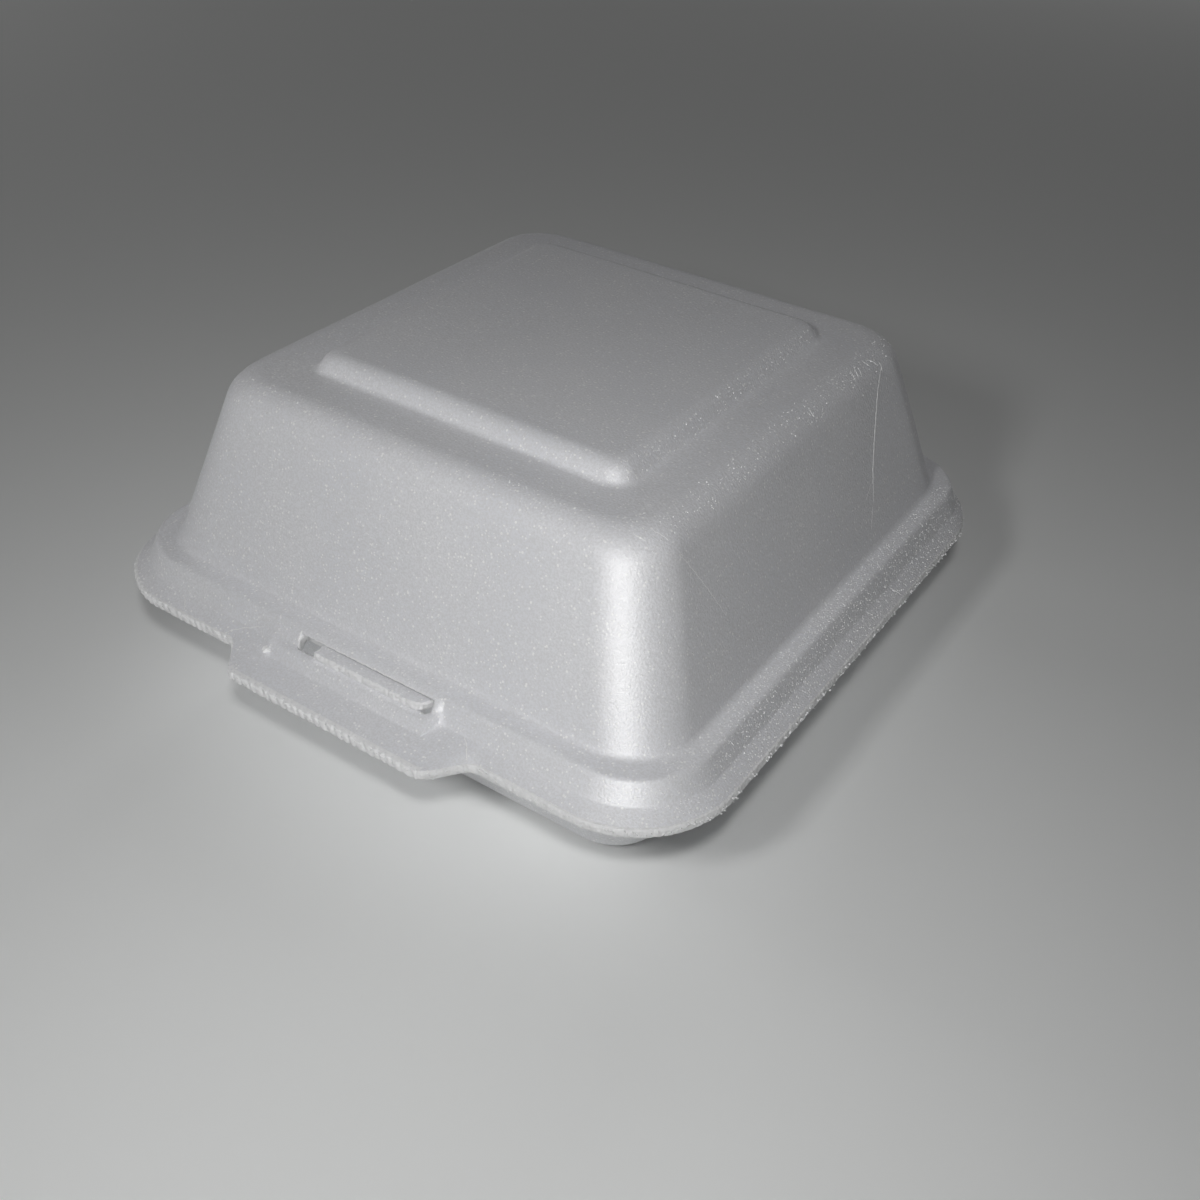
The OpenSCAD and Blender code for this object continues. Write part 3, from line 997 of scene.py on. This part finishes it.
def slot_cutter(c):
    """The slot's tool: upright in front, undercut at the back, with a slightly ragged outline."""
    rim, latch = c.rim, c.latch
    step = 0.0003
    ragged = 0.00004
    edge_drop = 0.001
    above = 0.0006
    front = slot_front(c) - rim.half_depth
    low = np.array([-latch.slot_left, front])
    high = np.array([latch.slot_right, latch.slot_root - rim.half_depth])
    outline = rounded_box(low, high, [latch.slot_corner] * 4, step)
    stray = np.random.default_rng(c.edge.seed).normal(0, ragged, len(outline))
    outline = outline + outward(outline, closed=True) * stray[:, None]
    ledge = rim.low + rim.ledge_height
    edge_z = ledge - edge_drop
    beyond = (latch.slot_root - latch.slot_back) / (edge_z - ledge + rim.sheet)
    steps = (
        (rim.low, latch.slot_root),
        (ledge - rim.sheet, latch.slot_root),
        (edge_z, latch.slot_back),
        (edge_z + above, latch.slot_back - beyond * above),
    )
    sections = []
    for height, back in steps:
        squeeze = (back - rim.half_depth - front) / (high[1] - front)
        y = front + (outline[:, 1] - front) * squeeze
        sections.append(np.stack([outline[:, 0], y, np.full(len(outline), height)], 1))
    return loop_mesh("slot_cutter", np.array(sections)[::-1])


def rounded_box(low, high, radii, step):
    """Outline of a box with round corners, anticlockwise from its lower left corner, in even steps."""
    corners = [(low[0], low[1]), (high[0], low[1]), (high[0], high[1]), (low[0], high[1])]
    inwards = [(1, 1), (-1, 1), (-1, -1), (1, -1)]
    arc = np.linspace(0, math.pi / 2, 9)
    points = []
    for i, (corner, radius) in enumerate(zip(corners, radii)):
        centre = np.array(corner) + radius * np.array(inwards[i])
        for turn in arc:
            a = math.pi + i * math.pi / 2 + turn
            points.append(centre + radius * np.array([math.cos(a), math.sin(a)]))
    points.append(points[0])
    return resampled(np.array(points), step)[:-1]


def resampled(line, step):
    """Points at even steps along a line."""
    reach = np.concatenate([[0], np.cumsum(np.linalg.norm(np.diff(line, axis=0), axis=1))])
    places = np.linspace(0, reach[-1], max(2, round(reach[-1] / step)) + 1)
    return np.stack([np.interp(places, reach, line[:, k]) for k in range(line.shape[1])], 1)


def outward(line, closed=False):
    """Directions square to a plan line that runs anticlockwise, pointing out."""
    if closed:
        along = np.roll(line, -1, axis=0) - np.roll(line, 1, axis=0)
    else:
        along = np.gradient(line, axis=0)
    along = along / np.linalg.norm(along, axis=1)[:, None]
    return np.stack([along[:, 1], -along[:, 0]], 1)


def torn_cells(u, v, pitch_u, pitch_v, seed):
    """Heights from 0 to 1 of rounded cells with grooves between them, at places u along and v across."""
    spare = 4
    far = 9.0
    cell_reach = 0.55
    random = np.random.default_rng(seed)
    columns = int(u.max() / pitch_u) + spare
    rows = int(v.max() / pitch_v) + spare
    jitter = random.uniform(0.15, 0.85, (columns, rows, 2))
    size = random.uniform(0.6, 1.0, (columns, rows))
    a = u / pitch_u + 1
    b = v / pitch_v + 1
    best = np.full(u.shape, far)
    tall = np.zeros(u.shape)
    for da in (-1, 0, 1):
        for db in (-1, 0, 1):
            ia = np.floor(a).astype(int) + da
            ib = np.floor(b).astype(int) + db
            away = (ia + jitter[ia, ib, 0] - a) ** 2 + (ib + jitter[ia, ib, 1] - b) ** 2
            closer = away < best
            best = np.where(closer, away, best)
            tall = np.where(closer, size[ia, ib], tall)
    return np.clip(1 - best / cell_reach, 0, 1) * tall


def bead_row(u, v, pitch, lean, seed):
    """Heights from 0 to 1 of a row of leaning beads with notches between them.

    The places are u along the row and v across it.
    """
    spare = 3
    most_stray = 0.25
    lowest = 0.65
    bluntness = 0.6
    random = np.random.default_rng(seed)
    count = int(u.max() / pitch) + spare
    stray = np.interp(u / pitch, np.arange(count), random.uniform(-most_stray, most_stray, count))
    tall = np.interp(u / pitch, np.arange(count), random.uniform(lowest, 1.0, count))
    return np.abs(np.sin(np.pi * (u / pitch + stray + lean * v / pitch))) ** bluntness * tall


def edge_line(c):
    """The lid's cut edge from above, at the true rim line, from the hinge's left end to its right end."""
    hair = 1e-6
    row = skin_rings(*lid_paths(c), 0)[0].copy()
    row[0] = 0
    row[6] = c.rim.corner
    places = stations(c, fine=0.0003, coarse=0.001, corner_steps=60)
    loop = ring(c, row, places)[:, :2]
    at_hinge = (loop[:, 1] > c.rim.half_depth - hair) & (np.abs(loop[:, 0]) < c.base.hinge_half)
    first = np.flatnonzero(at_hinge)[-1] + 1
    loop = np.roll(loop, -first, axis=0)
    return loop[: len(loop) - at_hinge.sum()]


def edge_roughness(c, line):
    """How strongly the cut is torn at each place: most at the front, least round the near corner."""
    front_reach, front_fade = 0.012, 0.006
    right_from, right_fade, right_loss = 0.022, 0.004, 0.5
    corner_from, corner_fade, corner_loss = 0.045, 0.012, 0.3
    x, y = line.T
    front = np.clip((-y - c.rim.half_depth + front_reach) / front_fade, 0, 1)
    right_half = np.clip((x - right_from) / right_fade, 0, 1)
    near_corner = np.clip((x - corner_from) / corner_fade, 0, 1)
    return front * (1 - right_loss * right_half - corner_loss * near_corner)


class CLAMSHELL_OT_lid(Operator):
    """Builds the lid's formed sheet with its rim, latch, walls and raised panel"""

    bl_idname = "clamshell.lid"
    bl_label = "Lid shell"

    def execute(self, context):
        c = context.scene.clamshell
        paths = lid_paths(c)
        places = stations(c, fine=0.0005, coarse=0.003, corner_steps=17)
        low = c.rim.low + c.rim.ledge_height
        high = c.rim.low + c.lid.shoulder_height
        skins = []
        for d in (0, c.rim.sheet):
            rings = skin(c, paths, d, places)
            points = knobbed(c, rings.reshape(-1, 3))
            skins.append(strayed(points, c.lid.waviness, low, high).reshape(rings.shape))
        mesh = sheet_mesh("lid_shell", *skins)
        shown = piece(mesh, finish(c, "foam_skin"), finish(c, "foam_cut"))
        cutter = piece(slot_cutter(c), finish(c, "foam_cut"))
        cut = shown.modifiers.new("Slot", "BOOLEAN")
        cut.operation = "DIFFERENCE"
        cut.solver = "EXACT"
        cut.material_mode = "TRANSFER"
        cut.object = cutter
        baked(shown)
        bpy.data.objects.remove(cutter)
        settle(shown, "lid", "lid")
        return {"FINISHED"}


class CLAMSHELL_OT_base(Operator):
    """Builds the base's formed sheet, its rear flange and the latch tongue"""

    bl_idname = "clamshell.base"
    bl_label = "Base shell and tongue"

    def execute(self, context):
        c = context.scene.clamshell
        path, radii, corners = base_paths(c)
        places = stations(c, fine=0.003, coarse=0.003, corner_steps=18)
        paths = (path, path, radii, corners)
        skins = [skin(c, paths, d, places) for d in (-c.rim.sheet, 0)]
        mesh = sheet_mesh("base_shell", *skins)
        shown = piece(mesh, finish(c, "foam_skin"), finish(c, "foam_cut"))
        settle(shown, "base", "base_tray")
        settle(self.rear_flange(c), "base")
        settle(self.tongue(c, path), "base")
        return {"FINISHED"}

    def rear_flange(self, c):
        """The bar that carries the base's rim back to the hinge line."""
        root = 0.0005
        stations_along = 60
        path = lid_paths(c)[0].copy()
        path[0, 0] = 0
        upper = moved(path, c.rim.sheet + c.base.nest_gap)
        under = moved(path, 2 * c.rim.sheet + c.base.nest_gap)
        section = [
            upper[0],
            upper[1],
            upper[LEDGE_EDGE] + [root, -root],
            under[LEDGE_EDGE] + [0, root],
            under[1],
            under[0],
        ]
        x = np.linspace(-c.base.hinge_half, c.base.hinge_half, stations_along)
        bar = [[(place, c.rim.half_depth - p[0], p[1]) for p in section] for place in x]
        return piece(loop_mesh("rear_flange", np.array(bar)), finish(c, "foam_skin"))

    def tongue(self, c, path):
        """The base's tongue, which climbs through the slot and lies over the lip with its torn edge."""
        latch = c.latch
        step = 0.0002
        left_share = 0.25
        root_corner = 0.001
        torn_reach, torn_fade, least_torn = 0.004, 0.002, 0.15
        cell_along, cell_across, tear = 0.0011, 0.001, 0.0005
        flat, rounded = 0.0009, 0.0003
        profile = ((0, flat), (0, rounded), (0.25, 0), (0.5, 0), (0.75, 0), (1, rounded), (1, flat))
        right = latch.slot_right - latch.tongue_gap
        front = slot_front(c) - latch.tongue_over
        low = np.array([right - latch.tongue_width, front - c.rim.half_depth])
        high = np.array([right, path[1][0] - c.rim.half_depth])
        corners = [latch.tongue_corner * left_share, latch.tongue_corner, root_corner, root_corner]
        outline = rounded_box(low, high, corners, step)
        out = outward(outline, closed=True)
        middle = path[0][1] + c.rim.sheet / 2
        along = np.arange(len(outline)) * step
        torn = np.clip((low[1] + torn_reach - outline[:, 1]) / torn_fade, least_torn, 1)
        free_root = latch.slot_root - c.rim.half_depth
        sections = []
        for across, inset in profile:
            level = np.full_like(along, across * latch.tongue_sheet)
            cells = torn_cells(along, level, cell_along, cell_across, c.edge.seed)
            depth = inset + (1 - cells) * torn * (tear if inset < flat else 0)
            plan = outline - out * depth[:, None]
            sprung = np.clip((free_root - plan[:, 1]) / (latch.slot_root - latch.slot_back), 0, 1)
            height = middle + (across - 0.5) * latch.tongue_sheet + latch.tongue_lift * sprung
            sections.append(np.concatenate([plan, height[:, None]], 1))
        mesh = loop_mesh("latch_tongue", np.array(sections)[::-1])
        count = len(outline)
        marks = np.zeros(len(mesh.polygons), np.int32)
        marks[count : (len(profile) - 2) * count] = 1
        mesh.polygons.foreach_set("material_index", marks)
        self.rule(c, mesh)
        return piece(mesh, finish(c, "foam_skin"), finish(c, "foam_cut"))

    def rule(self, c, mesh):
        """Cuts the tongue's faces into strips where it climbs, so that each strip is flat."""
        cuts = 6
        ruled = bmesh.new()
        ruled.from_mesh(mesh)
        for inset in np.linspace(c.latch.slot_back, c.latch.slot_root, cuts):
            parts = ruled.verts[:] + ruled.edges[:] + ruled.faces[:]
            line = (0, inset - c.rim.half_depth, 0)
            bmesh.ops.bisect_plane(ruled, geom=parts, plane_co=line, plane_no=(0, 1, 0))
        ruled.to_mesh(mesh)
        ruled.free()


class CLAMSHELL_OT_hinge(Operator):
    """Builds the crushed fold that joins the lid's rear edge to the base"""

    bl_idname = "clamshell.hinge"
    bl_label = "Hinge fold"

    def execute(self, context):
        c = context.scene.clamshell
        rim = c.rim
        back = c.base.fold_radius
        gap_middle = rim.low - c.base.nest_gap / 2
        slope = rim.skirt_rise / rim.skirt_width
        tuck = 0.001
        lap = 0.0002
        under_skin = 0.0001
        slack = 0.00005
        lower_inset = 0.0004
        end_inset = 0.0004
        crush = 0.00014
        turn = np.linspace(-math.pi / 2, math.pi / 2, 21)
        reach = rim.sheet + c.base.nest_gap / 2 - under_skin
        half_round = [
            (-lap + (back + lap) * math.cos(t), gap_middle + reach * math.sin(t)) for t in turn
        ]
        mouth = [
            (-tuck, rim.low + rim.sheet - under_skin),
            (-tuck, rim.low + tuck * slope + slack),
            (-under_skin, gap_middle),
            (-tuck, rim.low - c.base.nest_gap + tuck * slope - slack),
            (-tuck, rim.low - c.base.nest_gap - rim.sheet + lower_inset),
        ]
        section = np.array(half_round + mouth)
        x = np.linspace(-c.base.hinge_half + end_inset, c.base.hinge_half - end_inset, 180)
        crushed = np.random.default_rng(c.edge.seed).uniform(0, crush, (len(x), len(section)))
        bar = np.zeros((len(x), len(section), 3))
        bar[:, :, 0] = x[:, None]
        bar[:, :, 1] = rim.half_depth + section[:, 0] - crushed * (section[:, 0] > 0)
        bar[:, :, 2] = section[:, 1]
        shown = piece(loop_mesh("hinge_fold", bar[::-1]), finish(c, "foam_skin"))
        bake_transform(shown)
        return {"FINISHED"}


class CLAMSHELL_OT_cut_edges(Operator):
    """Builds the torn strip along the lid's cut edge"""

    bl_idname = "clamshell.cut_edges"
    bl_label = "Cut edges"

    def execute(self, context):
        c = context.scene.clamshell
        rim, edge = c.rim, c.edge
        line = resampled(edge_line(c), edge.step)
        out = outward(line)
        rough = edge_roughness(c, line)
        along = np.arange(len(line)) * edge.step
        levels = 10
        end_round = 0.00022
        smooth_pit, rough_pit = 0.00022, 0.00014
        pinch = 0.6
        tuck = 0.0016
        over_skin, under_skin = 0.0002, 0.0009
        sections = []
        for across in np.linspace(0, 1, levels):
            level = np.full_like(along, across * rim.sheet)
            teeth = bead_row(along, level, edge.tooth, edge.tooth_lean, edge.seed)
            cells = torn_cells(along, level, edge.cell, edge.cell, edge.seed + 1)
            end = end_round * (2 * abs(across - 0.5)) ** 3
            notch = (1 - teeth) * rough * edge.depth
            pit = (1 - cells) * (smooth_pit - rough_pit * rough)
            depth = edge.proud + (1 - rough) * edge.crumb_room + end + notch + pit
            height = rim.low + across * rim.sheet - (across - 0.5) * pinch * (notch + pit)
            sections.append(np.concatenate([line - out * depth[:, None], height[:, None]], 1))
        for height in (rim.low + rim.sheet + over_skin, rim.low + under_skin):
            inner = line - out * tuck
            sections.append(np.concatenate([inner, np.full((len(line), 1), height)], 1))
        strip = np.array(sections).transpose(1, 0, 2)
        shown = piece(loop_mesh("lid_cut_edge", strip), finish(c, "foam_cut"))
        settle(shown, "lid")
        return {"FINISHED"}


class CLAMSHELL_OT_crumbs(Operator):
    """Strews crumbs of foam along the lid's cut edge"""

    bl_idname = "clamshell.crumbs"
    bl_label = "Crumbs on the cut edges"

    def execute(self, context):
        c = context.scene.clamshell
        edge = c.edge
        line = resampled(edge_line(c), edge.crumb_spacing)
        inner = line - outward(line) * (edge.crumb_largest + CRUMB_STRAY[0] * edge.crumb_scatter)
        height = c.rim.low + c.rim.sheet / 2
        points = [(x, y, height) for x, y in inner]
        mesh = bpy.data.meshes.new("lid_crumbs")
        mesh.from_pydata(points, [(k, k + 1) for k in range(len(points) - 1)], [])
        shown = grown(
            added(mesh.name, mesh),
            crumb_tree(finish(c, "foam_cut")),
            Spacing=edge.crumb_spacing,
            Smallest=edge.crumb_smallest,
            Largest=edge.crumb_largest,
            Share=edge.crumb_share,
            Scatter=edge.crumb_scatter,
            Seed=edge.seed,
        )
        settle(shown, "lid")
        return {"FINISHED"}


class CLAMSHELL_OT_wear_and_glints(Operator):
    """Adds the creases, scratches and raised flecks of the lid's skin, with the painted highlight on the
    lip's knob and flecks whose white paints glints
    """

    bl_idname = "clamshell.wear"
    bl_label = "Creases and flecks"

    def execute(self, context):
        c = context.scene.clamshell
        shell = bpy.data.objects["lid_shell"]
        slivers = [self.sliver(shell, width, places) for width, places in MARKS.values()]
        settle(self.joined(c, slivers), "lid")
        settle(self.flecks(c, shell), "lid")
        return {"FINISHED"}

    def sliver(self, shell, width, places):
        """Sections of a thin raised line on the shell, pointed at both ends."""
        step = 0.0005
        tip = 0.12
        most_kink = 0.00012
        tall_share = 0.5
        line = resampled(np.array(places) / MM, step)
        along = np.gradient(line, axis=0)
        along = along / np.linalg.norm(along, axis=1)[:, None]
        sections = []
        for k, (point, way) in enumerate(zip(line, along)):
            found, place, up, _ = shell.closest_point_on_mesh(Vector(point))
            if not found:
                raise RuntimeError("a mark lies off the lid")
            side = Vector(way).cross(up).normalized()
            t = k / (len(line) - 1)
            taper = tip + (1 - tip) * math.sin(math.pi * t) ** 0.5
            kink = most_kink * math.sin(k * 1.7) * math.sin(k * 0.61 + 1)
            middle = place + side * kink
            half = width / (2 * MM) * taper * (0.8 + 0.3 * math.sin(k * 2.3))
            ridge = middle + up * half * tall_share
            sections.append([middle - side * half, ridge, middle + side * half, middle - up * half])
        return np.array([[tuple(p) for p in section] for section in sections])

    def joined(self, c, slivers):
        """One piece of all slivers."""
        points = []
        faces = []
        for sections in slivers:
            mesh = loop_mesh("sliver", sections)
            first = len(points)
            points += [tuple(v.co) for v in mesh.vertices]
            faces += [[first + i for i in face.vertices] for face in mesh.polygons]
            bpy.data.meshes.remove(mesh)
        mesh = bpy.data.meshes.new("lid_creases")
        mesh.from_pydata(points, [], faces)
        return piece(mesh, finish(c, "foam_whitened"))

    def flecks(self, c, shell):
        """Raised flecks, thick at the latch, the right rim and the worn shoulder and thin elsewhere. At the
        latch and the shoulder's creases they are wear; along the right rim and the edges of the shoulder and
        the panel their white is painted glints.
        """
        mesh = shell.data.copy()
        mesh.name = "lid_flecks"
        count = len(mesh.vertices)
        place = np.zeros(count * 3, np.float32)
        facing = np.zeros(count * 3, np.float32)
        mesh.vertices.foreach_get("co", place)
        mesh.vertices.foreach_get("normal", facing)
        place = place.reshape(-1, 3)
        up = facing.reshape(-1, 3)[:, 2]
        least_up = 0.05
        outer = (up > least_up) & (place[:, 2] > c.rim.low + c.rim.sheet)
        thick = self.fleck_strength(c, place * MM) * np.where(outer, 1.0, 0.0)
        attribute = mesh.attributes.new("fleck", "FLOAT", "POINT")
        attribute.data.foreach_set("value", thick.astype(np.float32))
        edge = c.edge
        return grown(
            added(mesh.name, mesh),
            fleck_tree(finish(c, "foam_whitened")),
            Density=edge.fleck_density,
            Smallest=edge.fleck_smallest,
            Largest=edge.fleck_largest,
            Seed=edge.seed,
        )

    def fleck_strength(self, c, place):
        """How thick the flecks are at places in millimetres, from 0 to 1."""
        thick = np.zeros(len(place))
        for middle, reach, strength in FLECK_PATCHES:
            away = np.linalg.norm(place - np.array(middle), axis=1) / reach
            thick = np.maximum(thick, strength * np.exp(-2 * away**2))
        x, y, z = place.T
        ledge = (c.rim.low + c.rim.ledge_height) * MM
        shoulder = (c.rim.low + c.lid.shoulder_height) * MM
        at_rim = z < ledge + 0.6
        on_wall = z > ledge + 2
        at_shoulder = np.abs(z - shoulder + 1.4) < 1.4
        at_panel = (z > shoulder + 0.2) & (z < shoulder + 3)
        # Bands along the right rim, the shoulder and the panel's edges, where the flecks' white paints
        # glints, and a faint band on the front wall by the latch
        for wear_and_glint_band, strength in (
            (at_rim & (x > 65), 1.0),
            (at_shoulder & (x > 48.5), 0.5),
            (at_shoulder & (y < -50), 0.4),
            (on_wall & (y < -55) & (x < 25), 0.1),
            (at_panel & (x > 35), 0.5),
            (at_panel & (y < -36), 0.3),
        ):
            thick = np.maximum(thick, np.where(wear_and_glint_band, strength, 0))
        return thick


class CLAMSHELL_OT_stage(Operator):
    """Builds the floor, the lamps and the camera"""

    bl_idname = "clamshell.stage"
    bl_label = "Stage"

    def execute(self, context):
        scene = context.scene
        stage = scene.clamshell.stage
        self.floor(stage)
        world = bpy.data.worlds.new("studio")
        world.use_nodes = True
        white = {"Color": (1, 1, 1, 1), "Strength": stage.fill}
        feed(world.node_tree, world.node_tree.nodes["Background"], white)
        scene.world = world
        for name, place, size, unseen in LAMPS:
            lamp = self.lamp(name, place, size, getattr(stage, name + "_power"))
            if unseen:
                setattr(lamp, unseen, False)
        scene.camera = self.camera(stage)
        scene.view_settings.view_transform = "Standard"
        return {"FINISHED"}

    def floor(self, stage):
        """A plain matt floor under the container."""
        h = stage.floor_half
        mesh = bpy.data.meshes.new("floor")
        mesh.from_pydata([(-h, -h, 0), (h, -h, 0), (h, h, 0), (-h, h, 0)], [], [(0, 1, 2, 3)])
        material, tree, shader = new_material("floor_paint")
        matt = {"Base Color": rgba(stage.floor), "Roughness": 1.0, "Specular IOR Level": 0.0}
        feed(tree, shader, matt)
        mesh.materials.append(material)
        added(mesh.name, mesh)

    def camera(self, stage):
        """The camera, turned by its yaw, pitch and roll."""
        data = bpy.data.cameras.new("camera")
        data.sensor_width = 36
        data.lens = stage.lens
        data.clip_start = 0.005
        yaw, pitch, roll = stage.yaw, stage.pitch, stage.roll
        level = math.cos(pitch)
        ahead = Vector((math.sin(yaw) * level, math.cos(yaw) * level, -math.sin(pitch)))
        right = Vector((math.cos(yaw), -math.sin(yaw), 0))
        up = right.cross(ahead)
        rolled_right = math.cos(roll) * right + math.sin(roll) * up
        rolled_up = math.cos(roll) * up - math.sin(roll) * right
        turn = Matrix((rolled_right, rolled_up, -ahead)).transposed().to_4x4()
        holder = added(data.name, data)
        holder.matrix_world = Matrix.Translation(Vector(stage.camera_place)) @ turn
        return holder

    def lamp(self, name, place, size, watts):
        """A square soft lamp that faces the container and isn't seen itself."""
        aim = Vector((0, 0, 0.04))
        data = bpy.data.lights.new(name, "AREA")
        data.size = size
        data.energy = watts
        holder = added(name, data)
        holder.location = place
        holder.visible_camera = False
        holder.rotation_euler = (aim - Vector(place)).to_track_quat("-Z", "Y").to_euler()
        return holder


class CLAMSHELL_PT_sidebar(Panel):
    """Lists the steps that build the container"""

    bl_idname = "CLAMSHELL_PT_sidebar"
    bl_label = "Foam clamshell"
    bl_space_type = "VIEW_3D"
    bl_region_type = "UI"
    bl_category = "Clamshell"

    def draw(self, context):
        for step in STEPS:
            self.layout.operator(step.bl_idname)
        for group in ("rim", "lid", "latch", "base", "edge", "foam", "stage"):
            box = self.layout.box()
            sizes = getattr(context.scene.clamshell, group)
            for name in sizes.bl_rna.properties.keys():
                if name not in ("rna_type", "name"):
                    box.prop(sizes, name)


GROUPS = (RimSizes, LidSizes, LatchSizes, BaseSizes, EdgeSizes, FoamLook, StageLook, Clamshell)
STEPS = (
    CLAMSHELL_OT_lid,
    CLAMSHELL_OT_base,
    CLAMSHELL_OT_hinge,
    CLAMSHELL_OT_cut_edges,
    CLAMSHELL_OT_crumbs,
    CLAMSHELL_OT_wear_and_glints,
    CLAMSHELL_OT_stage,
)


def register():
    for kind in (*GROUPS, *STEPS, CLAMSHELL_PT_sidebar):
        bpy.utils.register_class(kind)
    bpy.types.Scene.clamshell = PointerProperty(type=Clamshell)


def unregister():
    del bpy.types.Scene.clamshell
    for kind in reversed((*GROUPS, *STEPS, CLAMSHELL_PT_sidebar)):
        bpy.utils.unregister_class(kind)


def main():
    register()
    bpy.ops.clamshell.lid()
    bpy.ops.clamshell.base()
    bpy.ops.clamshell.hinge()
    bpy.ops.clamshell.cut_edges()
    bpy.ops.clamshell.crumbs()
    bpy.ops.clamshell.wear()
    bpy.ops.clamshell.stage()


if __name__ == "__main__":
    main()
